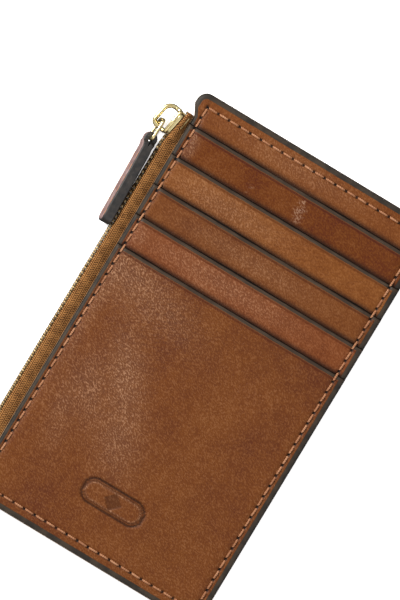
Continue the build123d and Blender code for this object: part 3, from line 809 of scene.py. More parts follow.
def strip_line(number):
    """(Y, Z) knots of one front sheet's top line, from its own CAD box and the slot pitch."""
    low, high = box_mm(STRIPS[number])
    if number == 0:
        return [(low[1], high[2]), (high[1], high[2])]
    bottom = BOARD_TOP + LEATHER + 0.25 * min(number, 4)
    line = [(high[1], high[2]), (high[1] - SLOT_FLAT, high[2])]
    line.append((high[1] - SLOT_PITCH - SLOT_FLAT, bottom))
    if number == len(STRIPS) - 1:
        pocket_end = high[1] + SLOT_PITCH - CARD_DEPTH
        line += [(pocket_end, bottom), (pocket_end - PANEL_SETTLE, BOARD_TOP + LEATHER)]
        line.append((-END - 1, BOARD_TOP + LEATHER))
    return line[::-1]


STRIP_LINES = [strip_line(number) for number in range(len(STRIPS))]
SLOT_EDGES = [box_mm(name)[1][1] for name in STRIPS[1:]]


def line_height(number, y):
    """Height of one sheet's top line, its bends softened by averaging over 2 mm."""
    knots_y, knots_z = zip(*STRIP_LINES[number])
    return sum(np.interp(y + shift, knots_y, knots_z) for shift in (-1.0, -0.4, 0.4, 1.0)) / 4


def seen_height(y):
    """Height of the uppermost front leather at y."""
    level = line_height(0, y)
    for number, slot in enumerate(SLOT_EDGES, start=1):
        level = np.where(y < slot, line_height(number, y), level)
    return level


def mark_depth(x, y):
    """Pressed mark: (line, pad, glow), each 1 at its fullest.

    The lines are a plain rounded frame and a rhombus; the pad is all that the frame holds, and
    the glow is a painted highlight just inside it.
    """
    dx, dy = np.abs(x - MARK_CENTRE[0]), np.abs(y - MARK_CENTRE[1])
    past_x, past_y = dx - MARK_HALF[0] + MARK_RADIUS, dy - MARK_HALF[1] + MARK_RADIUS
    out = np.hypot(np.maximum(past_x, 0), np.maximum(past_y, 0))
    out = out + np.minimum(np.maximum(past_x, past_y), 0) - MARK_RADIUS
    outer = smoothstep(np.abs(out + 0.4), 0.55, 0.2)
    inner = smoothstep(np.abs(out + 1.35), 0.45, 0.1)
    rhombus = smoothstep(dx + dy, 3.8, 3.3)
    glow = smoothstep(np.abs(out + 1.9), 0.5, 0.1)
    line = np.maximum(outer, np.maximum(0.6 * inner, 0.5 * rhombus))
    return line, smoothstep(out, 0.8, -0.4), glow


# Soft patches on each sheet: painted highlights of sheen, scuffs partly painted as glints of
# light, and creases; each is (amount, centre, size, turn) for blob.
SOFT_PATCHES = {
    "top_strip": {"bloom": [(0.3, (-5.0, 76.0), (26.0, 4.0))]},
    "card_pocket_1": {
        "bloom": [(0.6, (-41.2, 62.5), (1.7, 6.0))],
        "scuff": [
            (0.7, (-41.8, 66.0), (1.0, 2.6)),
            (0.9, (3.5, 63.5), (2.4, 4.6), 0.2),
            (0.5, (-16.5, 61.0), (2.2, 2.4)),
        ],
    },
    "card_pocket_2": {"bloom": [(0.4, (-20.0, 51.0), (22.0, 5.0))]},
    "card_pocket_3": {"bloom": [(0.3, (-5.0, 39.0), (26.0, 4.0))]},
    "card_pocket_4": {"bloom": [(0.45, (-8.0, 27.0), (30.0, 5.0)), (0.4, (-41, 27), (3, 5))]},
    "front_panel": {
        "bloom": [
            (0.62, (-20.0, -18.0), (6.5, 15.0), 0.55),
            (0.45, (-27.0, -30.0), (4.5, 12.0), 0.45),
            (0.4, (-10.0, -40.0), (8.0, 15.0), 0.45),
            (0.35, (-33.0, -38.0), (5.0, 16.0), 0.2),
            (0.4, (-22.0, 9.0), (16.0, 8.0), -0.3),
            (0.35, (-41.5, 5.0), (2.0, 40.0)),
            (0.5, (-37.0, 12.0), (9.0, 9.0)),
        ],
        "crease": [(0.7, (-22.0, 7.0), (20.0, 14.0)), (0.4, (-20.0, -20.0), (12.0, 18.0))],
    },
}
CREASE_EVERYWHERE = {"card_pocket_2": 0.5, "front_panel": 0.15}


def patch_values(x, y, name, key, base=0.0):
    """A sheet's base value and its soft patches for one attribute."""
    total = np.full_like(x, base)
    for amount, *shape in SOFT_PATCHES[name].get(key, ()):
        total += amount * blob(x, y, *shape)
    return total


def leather_piece(name, points, faces, finish, values):
    """The skin of a CAD sheet; each value is stored on its upper and on its lower points."""
    values = {key: np.concatenate([part.ravel()] * 2) for key, part in values.items()}
    mesh_object(name + "_skin", points, faces, finish, "pouch", "leather_panel", [name], values)


def make_front_sheet(number):
    """Front leather sheet: its line's height, less the rounded edges, seams, mark and waves."""
    name = STRIPS[number]
    low, high = box_mm(name)
    first, last = low[1], high[1]
    is_top, is_panel = number == 0, number == len(STRIPS) - 1
    if is_top:
        last += GROW
    if is_panel:
        first -= GROW
    near = [(last, 2.2, 0.17 if is_top else 0.13), (first, 2.0, 0.3)]
    near_x = [(0.0, 12.0, 0.36)] if is_panel else []
    if is_top:
        near.append((END_SEAM_Y, 0.8, 0.3))
    if is_panel:
        near += [(-END_SEAM_Y, 0.8, 0.3), (MARK_CENTRE[1], 5.6, 0.28)]
    rows = spread(first, last, 0.5, near)
    if not is_panel:
        step_y = SLOT_EDGES[number]
        rows = np.union1d(rows[np.abs(rows - step_y) > 0.05], [step_y - 0.04, step_y - 0.3])
    x, y = body_grid(rows, 0.75 if is_panel else 0.7, near_x)
    if not is_top:
        bow = 0.16 * waves(x, 0 * x, 40 + number, 46.0, 4)
        y = y + bow * np.exp((y - last) / 3.0) * smoothstep(np.abs(x), 45, 38)
    share, plain = outline_distance(x, y)
    hidden = np.zeros_like(x)
    if not is_panel:
        hidden = smoothstep(y, step_y - 0.04, step_y - 0.3)
        x = x + hidden * 0.6 * (smoothstep(x, -30, -42) - smoothstep(x, 30, 42))
        plain = plain + hidden * 0.6
    lip = np.full_like(x, 9.0) if is_top else last - y
    groove, hole = seam_marks(x, y, FRONT_ROWS)
    level = line_height(number, y)
    drop = 1.05 * quarter_round(share * 2.0, 2.0)
    drop = np.maximum(drop, 0.86 * quarter_round(lip, 1.45))
    level = level + waves(x, y, 7, 34.0) * 0.09 * smoothstep(share, 1.0, 4.0)
    level = level - groove * GROOVE - EDGE_SETTLE * smoothstep(share, 3.2, 1.0)
    top = level - drop - hole * HOLE_DEPTH
    if is_panel:
        line, pad, glow = mark_depth(x, y)
        top = top - 0.42 * line - 0.14 * pad
    skirt = np.where((x < 0) & (np.abs(y) < MOUTH_END + 0.5), BOARD_UNDER + 0.03, CEILING + 0.02)
    under = level - LEATHER - 0.02
    under = skirt + (under - skirt) * smoothstep(plain + hidden, 0.1, 0.2)
    under = np.minimum(under, top - 0.06)
    points, faces = shell(x, y, top, under)
    if is_panel:
        shade = 0.8 * line
    else:
        shade = 0.9 * np.exp(-((np.clip(y - step_y, 0, None) / 1.25) ** 2))
    shade = shade + 0.4 * np.exp(-(((x - ZIP_EDGE - 2.3) / 0.5) ** 2)) * (1 - shade)
    values = {"edge": share, "lip": lip, "hole": hole, "shade": shade}
    # Painted highlight: patches of sheen, a faint one over the whole panel and a line inside the
    # pressed frame.
    values["bloom"] = patch_values(x, y, name, "bloom") + (0.1 + 0.5 * glow if is_panel else 0)
    values["crease"] = patch_values(x, y, name, "crease", CREASE_EVERYWHERE.get(name, 0.2))
    # Scuffs and painted glints of light.
    values["scuff"] = patch_values(x, y, name, "scuff")
    leather_piece(name, points, faces, FINISHES[name], values)


for strip_number in range(len(STRIPS)):
    make_front_sheet(strip_number)


# ---------------------------------------------------------------- back leather


def back_skin(x, y):
    """Outside of the back: flat, then rising smoothly over RIM_RUN to the seam flange."""
    seam_x = RIGHT - SEAM_FLANGE_SIDE - RIM_RUN
    seam_y = END - SEAM_FLANGE_END - RIM_RUN
    past_x = np.maximum(x - seam_x + CORNER, 0)
    past_y = np.maximum(np.abs(y) - seam_y + CORNER, 0)
    out = np.hypot(past_x, past_y) - CORNER
    rise = np.clip(out / RIM_RUN, 0, 1)
    return FLANGE_UNDER * (0.35 * rise + 0.65 * smoothstep(rise, 0, 1))


def make_back_panel():
    """Back leather tray of even thickness, with rounded painted edges and sunk seams."""
    near = [(place, 1.0, 0.3) for place in (-END_SEAM_Y, END_SEAM_Y)]
    near += [(place, 2.4, 0.3) for place in (-END, END)]
    rows = spread(-END - GROW, END + GROW, 0.8, near)
    x, y = body_grid(rows, 0.85)
    share, _ = outline_distance(x, y)
    groove, hole = seam_marks(x, y, BACK_ROWS)
    skin = back_skin(x, y)
    flat = smoothstep(skin, 0.3, 0.0)
    press = groove * (0.2 + 0.45 * flat) + hole * 0.25
    uneven = np.maximum(waves(x, y, 21, 30.0), 0) * 0.06 * smoothstep(share, 1.0, 4.0)
    under = skin + 0.75 * quarter_round(share * 2.0, 2.0) + press + uneven * (1 - flat)
    top = np.maximum(skin + BACK_LEATHER, under + 0.1)
    points, faces = shell(x, y, top, under)
    values = {"edge": share, "lip": np.full_like(x, 9.0), "hole": hole}
    values.update({key: np.zeros_like(x) for key in ("bloom", "crease", "scuff", "shade")})
    leather_piece("back_panel", points, faces, BACK_LEATHER_FINISH, values)


make_back_panel()


# ---------------------------------------------------------------- thread


PLY = 0.26                # radius of one ply
PLY_TURNS = 2.3
STITCH_RISE = 0.36
STITCH_DIP = 0.42
STITCH_INSET = 0.62       # a stitch starts this far past its hole


def make_threads(name, rows, replaced):
    """Stitches of two twisted plies; each arches out of one hole and down into the next.

    rows holds (row, height function, 1 for the front or -1 for the back). Along a stitch at share
    t, the line rises as sin(pi t)^0.45 and leans across the seam a little; each ply turns round
    that line PLY_TURNS times.
    """
    share = np.linspace(0, 1, 15)
    chance = np.random.default_rng(11)
    holes = [row_holes(row) for row, _, _ in rows]
    start = np.concatenate([part[:-1] for part in holes])
    run = np.concatenate([part[1:] for part in holes]) - start
    sizes = [len(part) - 1 for part in holes]
    up = np.repeat([way for _, _, way in rows], sizes)
    count = len(start)
    length = np.linalg.norm(run, axis=1, keepdims=True)
    along = run / length
    across = np.stack([-along[:, 1], along[:, 0]], axis=1)
    lean = (-0.1 + chance.normal(0, 0.03, (count, 1))) * up[:, None]
    reach = STITCH_INSET + (length[:, None] - 2 * STITCH_INSET) * share[None, :, None]
    track = start[:, None] + along[:, None] * reach
    track = track + across[:, None] * (lean * (share * 2 - 1))[..., None]
    tracks = np.split(track, np.cumsum(sizes)[:-1])
    heights = [level(part[..., 0], part[..., 1]) for (_, level, _), part in zip(rows, tracks)]
    arch = np.sin(pi * share) ** 0.45
    lift = STITCH_RISE * arch - STITCH_DIP * (1 - arch) + chance.normal(0, 0.02, (count, 1))
    heights = np.concatenate(heights) + up[:, None] * lift
    path = np.concatenate([track, heights[..., None]], axis=-1)
    side = np.concatenate([across, np.zeros((count, 1))], axis=1)[:, None]
    tangent = np.gradient(path, axis=1)
    tangent /= np.linalg.norm(tangent, axis=-1, keepdims=True)
    rise = np.cross(tangent, np.broadcast_to(side, path.shape))
    rise *= np.sign(rise[..., 2:] * up[:, None, None])
    ring = np.linspace(0, 2 * pi, 6, endpoint=False)
    body = side[:, :, None] * np.cos(ring)[:, None] + rise[:, :, None] * np.sin(ring)[:, None]
    points = []
    for number in range(2):
        turn = (2 * pi * (PLY_TURNS * share + number / 2))[:, None]
        centre = path + 0.16 * (side * np.cos(turn) * 1.15 + rise * np.sin(turn) * 0.8)
        points.append((centre[:, :, None] + PLY * body).reshape(-1, 3))
    faces = repeated(ring_faces(len(share), len(ring)), 2 * count, len(share) * len(ring))
    points = np.concatenate(points)
    closed_piece(name, points, faces, THREAD_FINISH, "pouch", "thread", replaced)


def front_level(x, y):
    """Height of the front leather beside a seam, eased over the slot edges."""
    eased = sum(seen_height(y + shift) for shift in (-0.9, -0.45, 0.0, 0.45, 0.9)) / 5
    return eased - EDGE_SETTLE * smoothstep(outline_distance(x, y)[0], 3.2, 1.0) - GROOVE


def back_level(x, y):
    """Outside of the back leather at the bottom of its seam groove."""
    return back_skin(x, y) + 0.2


def flat_back_level(x, y):
    """Bottom of the deeper groove that keeps the zip's back stitches off the floor."""
    return back_skin(x, y) + 0.77


for seam in ("top", "bottom", "side"):
    both = [(seam, front_level, 1), (seam, back_level, -1)]
    make_threads("seam_thread_" + seam, both, ["seam_stitching_" + seam])
make_threads("zip_thread_front", [("zip", front_level, 1)], ["zip_stitching_front"])
make_threads("zip_thread_back", [("zip_back", flat_back_level, -1)], ["zip_stitching_back"])


# ---------------------------------------------------------------- zip


def chain_at(length):
    """(x, y, angle) of the chain's centre line: straight, an arc of CHAIN_TURN, straight."""
    tangent = CHAIN_RADIUS * tan(CHAIN_TURN / 2)
    bend = CHAIN_TURN_Y + TAPE_END - tangent
    arc = CHAIN_RADIUS * CHAIN_TURN
    angle = np.clip((length - bend) / CHAIN_RADIUS, 0, CHAIN_TURN)
    before = np.minimum(length, bend)
    after = np.maximum(length - bend - arc, 0)
    x = CHAIN_X + CHAIN_RADIUS * (1 - np.cos(angle)) + after * sin(CHAIN_TURN)
    y = -TAPE_END + before + CHAIN_RADIUS * np.sin(angle) + after * cos(CHAIN_TURN)
    return x, y, angle


def chain_length():
    """Whole length of the chain's centre line."""
    tangent = CHAIN_RADIUS * tan(CHAIN_TURN / 2)
    straight = (TAPE_END - CHAIN_TURN_Y) / cos(CHAIN_TURN) - tangent
    return CHAIN_TURN_Y + TAPE_END - tangent + CHAIN_RADIUS * CHAIN_TURN + straight


def parted(y):
    """How far each row of teeth is shifted apart inside the slider's upper half."""
    start = SLIDER_Y - TOOTH_PITCH / 2
    return TEETH_PARTED * np.clip((y - start) / (SLIDER_Y + SLIDER_LENGTH / 2 - start), 0, 1)


def make_tape(side, name, seam):
    """Zip tape: in each section it leaves the teeth, rolls over its shoulder and runs in.

    The section's corners are joined, resampled and smoothed; the sheet is that line offset by
    half its thickness each way.
    """
    rows = spread(-TAPE_END, TAPE_END, 0.7, [(SLIDER_Y, 6.0, 0.3)])
    x = CHAIN_X + np.maximum(rows - CHAIN_TURN_Y, 0) * tan(CHAIN_TURN)
    apart = parted(rows)
    reach = TOOTH_HALF_CHAIN + TAPE_SHOULDER + apart / 2
    near_slider = smoothstep(rows, SLIDER_Y - 6.6, SLIDER_Y - 4.6)
    near_slider = near_slider * smoothstep(rows, SLIDER_Y + 7.5, SLIDER_Y + 5.2)
    reach = reach + near_slider * 1.35
    if side < 0:
        reach = np.minimum(reach, CHAIN_HEIGHT - TAPE / 2 - 0.35)
    ripple = 0.07 * np.sin(2 * pi * rows / TOOTH_PITCH)
    seam_edge = ZIP_EDGE - TAPE / 2
    corners_x = [x, x, x + 0.25, (x + seam_edge) / 2, x * 0 + seam_edge, x * 0 + TAPE_INNER]
    corners_z = [
        TOOTH_CROTCH + apart,
        reach * 0.6 + 0.8,
        reach,
        reach - 0.1 + ripple,
        x * 0 + abs(seam - CHAIN_HEIGHT),
        x * 0 + abs(seam - CHAIN_HEIGHT),
    ]
    corners = np.stack([np.stack(corners_x, 1), np.stack(corners_z, 1)], axis=-1)
    knots = np.array([0, 1.5, 3.0, 5.0, 7.2, 13.5])
    samples = spread(0, knots[-1], 0.42)
    below = np.clip(np.searchsorted(knots, samples, side="right") - 1, 0, len(knots) - 2)
    part = ((samples - knots[below]) / (knots[below + 1] - knots[below]))[None, :, None]
    line = corners[:, below] * (1 - part) + corners[:, below + 1] * part
    for _ in range(7):
        inner = (line[:, :-2] + 2 * line[:, 1:-1] + line[:, 2:]) / 4
        line = np.concatenate([line[:, :1], inner, line[:, -1:]], axis=1)
    normal = -path_normals(line)
    y = np.repeat(rows[:, None], line.shape[1], axis=1)
    steps = np.linalg.norm(np.diff(line, axis=1), axis=-1)
    across = np.concatenate([np.zeros((len(rows), 1)), np.cumsum(steps, axis=1)], axis=1)
    points = []
    for offset in (0.92 * TAPE / 2, -TAPE / 2):
        moved = line + normal * offset
        layer = np.stack([moved[..., 0], y, CHAIN_HEIGHT + side * moved[..., 1]], axis=-1)
        points.append(layer.reshape(-1, 3))
    points = np.concatenate(points)
    uv = np.tile(np.stack([y.ravel(), across.ravel()], axis=1), (2, 1))
    faces = sheet_faces(*y.shape)
    closed_piece(name + "_weave", points, faces, TAPE_FINISH, "pouch", "zip_tape", [name], uv=uv)


make_tape(1, "zip_tape_front", BOARD_UNDER - TAPE / 2)
make_tape(-1, "zip_tape_back", BACK_LEATHER + TAPE / 2)


def make_teeth(side, name):
    """A row of cast teeth: a hooked head and two legs over the tape, with softened edges."""
    outer = TAPE / 2 + TOOTH_OUTER_LEG + 0.15
    inner = -TAPE / 2 - TOOTH_INNER_LEG
    slit = TAPE / 2
    bevel = 0.3
    shape = np.array(
        [
            (inner, bevel - TOOTH_HOOK),
            (inner + bevel, -TOOTH_HOOK),
            (outer - bevel, -TOOTH_HOOK),
            (outer, bevel - TOOTH_HOOK),
            (outer, TOOTH_HALF_CHAIN - bevel),
            (outer - bevel, TOOTH_HALF_CHAIN),
            (slit, TOOTH_HALF_CHAIN),
            (slit, TOOTH_CROTCH),
            (-slit, TOOTH_CROTCH),
            (-slit, TOOTH_HALF_CHAIN),
            (inner + 0.15, TOOTH_HALF_CHAIN),
            (inner, TOOTH_HALF_CHAIN - 0.15),
        ]
    )
    first = STOP_LENGTH + STOP_GAP + TOOTH_PITCH
    last = chain_length() - 0.2 - STOP_LENGTH - TOOTH_PITCH
    offset = 0 if side > 0 else TOOTH_PITCH / 2
    count = int((last - first - offset) / TOOTH_PITCH) + 1
    x, y, angle = chain_at(first + offset + np.arange(count) * TOOTH_PITCH)
    out = np.stack([-np.cos(angle), np.sin(angle), 0 * angle], axis=1)[:, None, None]
    along = np.stack([np.sin(angle), np.cos(angle), 0 * angle], axis=1)[:, None, None]
    half = TOOTH_THICKNESS / 2 + 0.02
    levels = np.array([(-half, 0.1), (-half + 0.1, 0.0), (half - 0.1, 0.0), (half, 0.1)])
    narrow = 1 - levels[:, 1:] / 1.4
    middle = shape.mean(axis=0)
    rings = middle + (shape - middle) * narrow[:, None]
    rings = np.broadcast_to(rings, (count, *rings.shape)).copy()
    rings[..., 1] += parted(y)[:, None, None]
    points = np.stack([x, y, 0 * x + CHAIN_HEIGHT], axis=1)[:, None, None] + out * rings[..., :1]
    points = points + along * levels[None, :, None, :1]
    points[..., 2] += side * rings[..., 1]
    points = points.reshape(-1, 3)
    faces = repeated(ring_faces(len(levels), len(shape)), count, len(levels) * len(shape))
    closed_piece(name + "_cast", points, faces, BRASS, "pouch", "zip_teeth", [name])


make_teeth(1, "zip_teeth_front")
make_teeth(-1, "zip_teeth_back")


# ---------------------------------------------------------------- slider

SLIDER_X = CHAIN_X + (SLIDER_Y - CHAIN_TURN_Y) * tan(CHAIN_TURN)
SLIDER_CENTRE = np.array([SLIDER_X, SLIDER_Y, CHAIN_HEIGHT])
ALONG = np.array([sin(CHAIN_TURN), cos(CHAIN_TURN), 0])
OUT = np.array([-cos(CHAIN_TURN), sin(CHAIN_TURN), 0])
UP = np.array([0.0, 0.0, 1.0])
SLIDER_PLANE = (SLIDER_CENTRE, UP, ALONG, OUT)
PLATE_FACE = 2.75
PLATE_INSIDE = 1.55
INNER_FACE = -1.05
INNER_BACK = -1.85
PLATE_WIDE, PLATE_NARROW = 4.0, 3.0       # half widths of the plates
BRIDGE_SUNK = 0.52        # half of the strap's thickness that lies inside its outer line
BRIDGE_HEIGHT = 5.5
LINK_INSIDE, LINK_WIRE, LINK_CORNER = 5.8, 1.3, 1.3


def slider_plan(wide, narrow, half, radius):
    """Plan of a slider plate, wide at the upper mouth and narrow at the lower one."""
    corners = [(-narrow, -half), (narrow, -half), (wide, 0), (wide, half), (-wide, half), (-wide, 0)]
    return rounded(corners, [radius, radius, 3.0, radius, radius, 3.0], 7)


def make_slider_body():
    """Two rounded plates, side flanges that leave a slot for the tapes, and the divider."""
    half = SLIDER_LENGTH / 2
    outline = slider_plan(PLATE_WIDE, PLATE_NARROW, half, 1.1)
    parts = [stack(outline, bevelled(PLATE_INSIDE, PLATE_FACE, 0.4), SLIDER_PLANE)]
    parts.append(stack(outline, bevelled(INNER_BACK, INNER_FACE, 0.3), SLIDER_PLANE))
    narrow, wide = PLATE_NARROW - 0.24, PLATE_WIDE - 0.24
    edge = [(narrow, -half + 1.1), (narrow, -half / 2), (wide, half / 2), (wide, half - 1.1)]
    for side in (-1, 1):
        line = rounded(edge, 2.0, 6, closed=False) * (side, 1)
        for low, high in ((0.46, PLATE_INSIDE + 0.2), (INNER_FACE - 0.2, -0.46)):
            path = placed(line, (low + high) / 2, *SLIDER_PLANE)
            section = oval(0.23, (high - low) / 2, 12, 5.0)
            parts.append(tube(path, UP, OUT, section))
    wedge = [(-0.3, half - 0.5), (0, half - 2.0), (0.3, half - 0.5), (0.3, half), (-0.3, half)]
    levels = bevelled(INNER_FACE - 0.1, PLATE_INSIDE + 0.1, 0.05)
    parts.append(stack(rounded(wedge, 0.1, 3), levels, SLIDER_PLANE))
    closed_piece("slider_body_cast", *joined(parts), GOLD, "slider", "gold_metal", ["slider_body"])


make_slider_body()


def make_bridge():
    """D-shaped strap: a soft rectangle carried along a path with a tight and a wide corner."""
    reach = SLIDER_LENGTH / 2 - BRIDGE_SUNK
    crown = PLATE_FACE + BRIDGE_HEIGHT - BRIDGE_SUNK
    sunk = PLATE_FACE - 0.5
    corners = [(-reach, sunk), (-reach, crown), (reach, crown), (reach, sunk)]
    line = rounded(corners, [0, 1.7, 3.2, 0], 14, closed=False)
    share = np.linspace(0, 1, 12)[:, None]
    foot = line[:1] * (1 - share) + line[1:2] * share
    line = np.concatenate([foot[:-1], line[1:-1], (line[-2:-1] * (1 - share) + line[-1:] * share)])
    normal = path_normals(line)
    path = SLIDER_CENTRE + line[:, :1] * ALONG + line[:, 1:] * OUT
    across = normal[:, :1] * ALONG + normal[:, 1:] * OUT
    height = line[:, 1] - PLATE_FACE
    flare = 1 + 0.3 * np.exp(-((np.clip(height, 0, None) / 0.55) ** 2))
    section = oval(0.84, 1.0, 22, 2.6)[None] * np.stack([0 * flare + 1, flare], 1)[:, None]
    strap = tube(path, across, UP, section)
    closed_piece("slider_bridge_cast", *strap, GOLD, "slider", "gold_metal", ["slider_bridge"])


make_bridge()

LINK_DIRECTION = (TAB_PIVOT - LINK_PIVOT) / np.linalg.norm(TAB_PIVOT - LINK_PIVOT)


def make_link():
    """Closed ring of wire: a circle carried round a long rounded rectangle."""
    length = np.linalg.norm(TAB_PIVOT - LINK_PIVOT)
    side = (LINK_INSIDE + LINK_WIRE) / 2
    corners = [(0, -side), (length, -side), (length, side), (0, side)]
    line = rounded(corners, LINK_CORNER, 9)
    fine = []
    for start, end in zip(line, np.roll(line, -1, axis=0)):
        steps = max(1, int(np.linalg.norm(end - start) / 0.5))
        fine.append(start + (end - start) * np.linspace(0, 1, steps, endpoint=False)[:, None])
    line = np.concatenate(fine)
    out = normals_of(line)
    normal = np.cross(LINK_DIRECTION, PIVOT_AXIS)
    path = LINK_PIVOT + line[:, :1] * LINK_DIRECTION + line[:, 1:] * PIVOT_AXIS
    across = out[:, :1] * LINK_DIRECTION + out[:, 1:] * PIVOT_AXIS
    section = oval(LINK_WIRE / 2, LINK_WIRE / 2, 18, 2.2)
    wire = tube(path, across, normal, section, closed=True)
    closed_piece("puller_link_wire", *wire, GOLD, "link", "gold_metal", ["puller_link"])


make_link()


TAB_LENGTH, TAB_WIDTH, TAB_SHEET = 34.3, 8.0, 1.65
TAB_SWING = -1.65         # degrees
TAB_TIP = 2.6             # radius of the corners at the tip
TAB_NECK = 1.7            # half width at the loop
TAB_JOIN = 4.4            # the layers start to part for the loop this far from its middle


def tab_direction():
    """Direction in which the tab hangs: TAB_SWING from -Y, made square to the pivot axis."""
    swing = radians(TAB_SWING)
    down = np.array([-sin(swing), -cos(swing), 0.0])
    down -= PIVOT_AXIS * (down @ PIVOT_AXIS)
    return down / np.linalg.norm(down)


TAB_DIRECTION = tab_direction()
TAB_NORMAL = np.cross(PIVOT_AXIS, TAB_DIRECTION)


def tab_half_width(along):
    """Half width of the tab: narrow at its loop, full, then rounded at the tip."""
    neck = TAB_NECK + (TAB_WIDTH / 2 - TAB_NECK) * smoothstep(along, 0.9, 1.8)
    past = np.clip(along - (TAB_LENGTH - TAB_TIP), 0, TAB_TIP)
    return neck - TAB_TIP + np.sqrt(TAB_TIP**2 - past**2)


def make_tab():
    """One leather strip folded round the link's bar: layer, loop, layer.

    The strip's middle line runs in the plane square to the pivot axis; its section is a
    rectangle with domed, painted edges.
    """
    loop = 0.75 + TAB_SHEET / 2
    layer = TAB_SHEET / 2
    lead = np.linspace(TAB_LENGTH, TAB_JOIN, 38)
    lower = np.stack([lead, np.full_like(lead, -layer)], axis=1)
    ease = np.linspace(0, 1, 14)[1:-1]
    join_x = TAB_JOIN * (1 - ease)
    join_y = layer + (loop - layer) * smoothstep(ease, 0.12, 1.0)
    arc = np.linspace(-pi / 2, -3 * pi / 2, 22)
    ring = loop * np.stack([np.cos(arc), np.sin(arc)], axis=1)
    join = np.stack([join_x, -join_y], axis=1)
    line = np.concatenate([lower, join, ring, join[::-1] * (1, -1), lower[::-1] * (1, -1)])
    normal = path_normals(line)
    half = tab_half_width(line[:, 0])
    soft = 0.5
    angle = np.linspace(0, pi / 2, 6)
    inset = soft * (1 - np.cos(angle))
    u = np.concatenate([[layer, layer - 0.04, 0.0], -(layer - soft) - soft * np.sin(angle)])
    inset = np.concatenate([[0, 0, 0], inset])
    side_sign = np.concatenate([np.ones(len(u)), -np.ones(len(u))])
    u, inset = np.concatenate([u, u[::-1]]), np.concatenate([inset, inset[::-1]])
    tip = smoothstep(line[:, 0], TAB_LENGTH, TAB_LENGTH - 0.55)
    v = side_sign * (half[:, None] - inset)
    u = np.where(u > 0, u - 0.008, u * 1.12) * (0.65 + 0.35 * tip[:, None])
    fuller = np.where(line[:, 1] > 0, 0.36 * smoothstep(line[:, 0], 2.0, 6.0), 0.0)[:, None]
    u = u - np.where(u < 0, fuller, 0.0)
    path = TAB_PIVOT + line[:, :1] * TAB_DIRECTION + line[:, 1:] * TAB_NORMAL
    across = normal[:, :1] * TAB_DIRECTION + normal[:, 1:] * TAB_NORMAL
    points, faces = tube(path, across, PIVOT_AXIS, np.stack([u, v], axis=-1))
    along = np.repeat(line[:, :1], len(side_sign), axis=1)
    edge = np.minimum(inset / 0.48, (TAB_LENGTH - along) / 0.3)
    slot = ("pull_tab", "leather_tab", ["pull_tab_leather"])
    closed_piece("pull_tab_strip", points, faces, TAB_FINISH, *slot, {"edge": edge})


make_tab()


def make_tab_thread():
    """Short stitches along both edges of both faces of the tab, each a low arch."""
    pitch, start, row = 4.6, 7.5, TAB_WIDTH / 2 - 1.1
    count = int((TAB_LENGTH - TAB_TIP - start) / pitch) + 1
    share = np.linspace(-1, 1, 11)
    parts = []
    arch = np.sqrt(np.clip(1 - share**2, 0, 1)) ** 0.6
    for face in (-1, 1):
        for edge in (-1, 1):
            for number in range(count):
                along = start + number * pitch + share * 1.55
                out = face * (TAB_SHEET - 0.2 + 0.24 * arch)
                path = TAB_PIVOT + along[:, None] * TAB_DIRECTION + out[:, None] * TAB_NORMAL
                path = path + (edge * row + 0.12 * share)[:, None] * PIVOT_AXIS
                size = (0.35 + 0.65 * arch)[:, None, None]
                section = oval(0.2, 0.26, 8)[None] * size
                parts.append(tube(path, TAB_NORMAL, PIVOT_AXIS, section))
    slot = ("pull_tab", "thread", ["pull_tab_stitching"])
    closed_piece("pull_tab_thread", *joined(parts), THREAD_FINISH, *slot)


make_tab_thread()


def make_stops():
    """Top stops on each tape past the slider, and one bottom stop across both tapes."""
    x, y, angle = chain_at(np.array([chain_length() - STOP_LENGTH / 2]))
    centre = np.array([x[0], y[0], CHAIN_HEIGHT])
    plane = (centre, OUT, UP, -ALONG)
    middle = TOOTH_CROTCH + TEETH_PARTED + 0.6
    parts = []
    for side in (-1, 1):
        outline = rounded([(0.25, -0.6), (0.85, -0.6), (0.85, 0.6), (0.25, 0.6)], 0.22, 4)
        outline = outline + (0, side * middle)
        parts.append(stack(outline, bevelled(-STOP_LENGTH / 2, STOP_LENGTH / 2, 0.14), plane))
    slot = ("pouch", "zip_teeth")
    closed_piece("zip_top_stop_clamps", *joined(parts), BRASS, *slot, ["zip_top_stops"])
    low, high = box_mm("zip_bottom_stop")
    plane = ((low + high) / 2, np.array([1.0, 0, 0]), UP, np.array([0, -1.0, 0]))
    size = (high - low) / 2
    corners = [(-size[0], -size[2]), (size[0], -size[2]), (size[0], size[2]), (-size[0], size[2])]
    outline = rounded(corners, 0.35, 5)
    clamp = stack(outline, bevelled(-size[1], size[1], 0.18), plane)
    closed_piece("zip_bottom_stop_clamp", *clamp, BRASS, *slot, ["zip_bottom_stop"])


make_stops()


# ---------------------------------------------------------------- inside pieces kept from CAD


def dress(node, finish):
    """Gives a CAD node its finish."""
    piece = frame["nodes"][node]
    for holder in piece.material_slots:
        holder.material = finish
    if not piece.material_slots:
        piece.data.materials.append(finish)


for cad_name in ("back_lining", "front_lining", *[f"pocket_lining_{n}" for n in range(1, 5)]):
    dress(cad_name, CLOTH)
dress("pocket_base", BOARD)


# ---------------------------------------------------------------- floor, light and camera


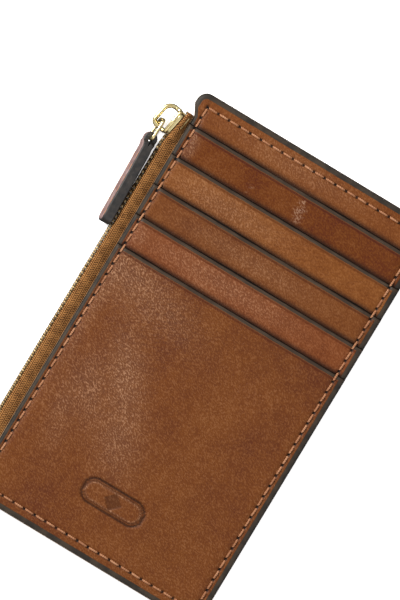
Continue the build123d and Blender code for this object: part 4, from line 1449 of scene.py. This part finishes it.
def make_floor():
    """Large plain pale floor just under the pouch."""
    half, low = 4.0, -0.00005
    mesh = bpy.data.meshes.new("floor")
    corners = [(-half, -half, low), (half, -half, low), (half, half, low), (-half, half, low)]
    mesh.from_pydata(corners, [], [(0, 1, 2, 3)])
    f = Finish("pale_floor")
    cloud = f.noise(f.place(), 900.0, 1.0)
    glow = {"Emission_Color": (1.0, 1.0, 1.0), "Emission_Strength": 0.6, "Specular_IOR_Level": 0.1}
    colour = f.mix(cloud.between(0.3, 0.7), (0.95, 0.95, 0.95), (0.97, 0.97, 0.97))
    mesh.materials.append(f.done(**glow, Base_Color=colour, Roughness=0.9))
    floor = bpy.data.objects.new("floor", mesh)
    bpy.context.scene.collection.objects.link(floor)
    floor.visible_glossy = False


make_floor()


def area_light(name, place, target, size, power, colour=(1, 1, 1)):
    """Square soft light at a place in metres, aimed at a target."""
    lamp = bpy.data.lights.new(name, "AREA")
    lamp.shape = "SQUARE"
    lamp.size = size
    lamp.energy = power
    lamp.color = colour
    holder = bpy.data.objects.new(name, lamp)
    holder.location = place
    aim = Vector(target) - Vector(place)
    holder.rotation_euler = aim.to_track_quat("-Z", "Y").to_euler()
    bpy.context.scene.collection.objects.link(holder)


AIM = (-0.01, 0.0, 0.005)
area_light("key", (-0.95, 0.30, 0.95), AIM, 0.42, 24.0, (1.0, 0.985, 0.96))
area_light("fill", (0.8, -0.7, 1.2), AIM, 1.0, 4.0, (0.96, 0.98, 1.0))


def make_world():
    """Soft white surroundings, brighter overhead than at the horizon."""
    world = bpy.data.worlds.new("studio")
    world.use_nodes = True
    bpy.context.scene.world = world
    nodes, links = world.node_tree.nodes, world.node_tree.links
    nodes.clear()
    where = nodes.new("ShaderNodeTexCoord")
    split = nodes.new("ShaderNodeSeparateXYZ")
    ramp = nodes.new("ShaderNodeValToRGB")
    back = nodes.new("ShaderNodeBackground")
    out = nodes.new("ShaderNodeOutputWorld")
    ramp.color_ramp.elements[0].position = 0.0
    ramp.color_ramp.elements[0].color = (0.26, 0.26, 0.27, 1)
    ramp.color_ramp.elements[1].position = 0.75
    ramp.color_ramp.elements[1].color = (1, 1, 1, 1)
    links.new(where.outputs["Generated"], split.inputs[0])
    links.new(split.outputs["Z"], ramp.inputs[0])
    links.new(ramp.outputs[0], back.inputs["Color"])
    links.new(back.outputs[0], out.inputs["Surface"])
    back.inputs["Strength"].default_value = 0.72


make_world()


def make_camera():
    """Straight down from far above, turned so that the pouch lies aslant in the view."""
    lens = bpy.data.cameras.new("camera")
    holder = bpy.data.objects.new("camera", lens)
    height, tall = 1.608, 0.2143
    lens.sensor_width = 36.0
    lens.lens = 36.0 * 1.6 / tall
    lens.clip_start = 0.05
    holder.location = (-0.01057, 0.01798, height)
    holder.rotation_euler = (0, 0, radians(31.1))
    bpy.context.scene.collection.objects.link(holder)
    bpy.context.scene.camera = holder


make_camera()
bpy.context.scene.view_settings.view_transform = "Standard"
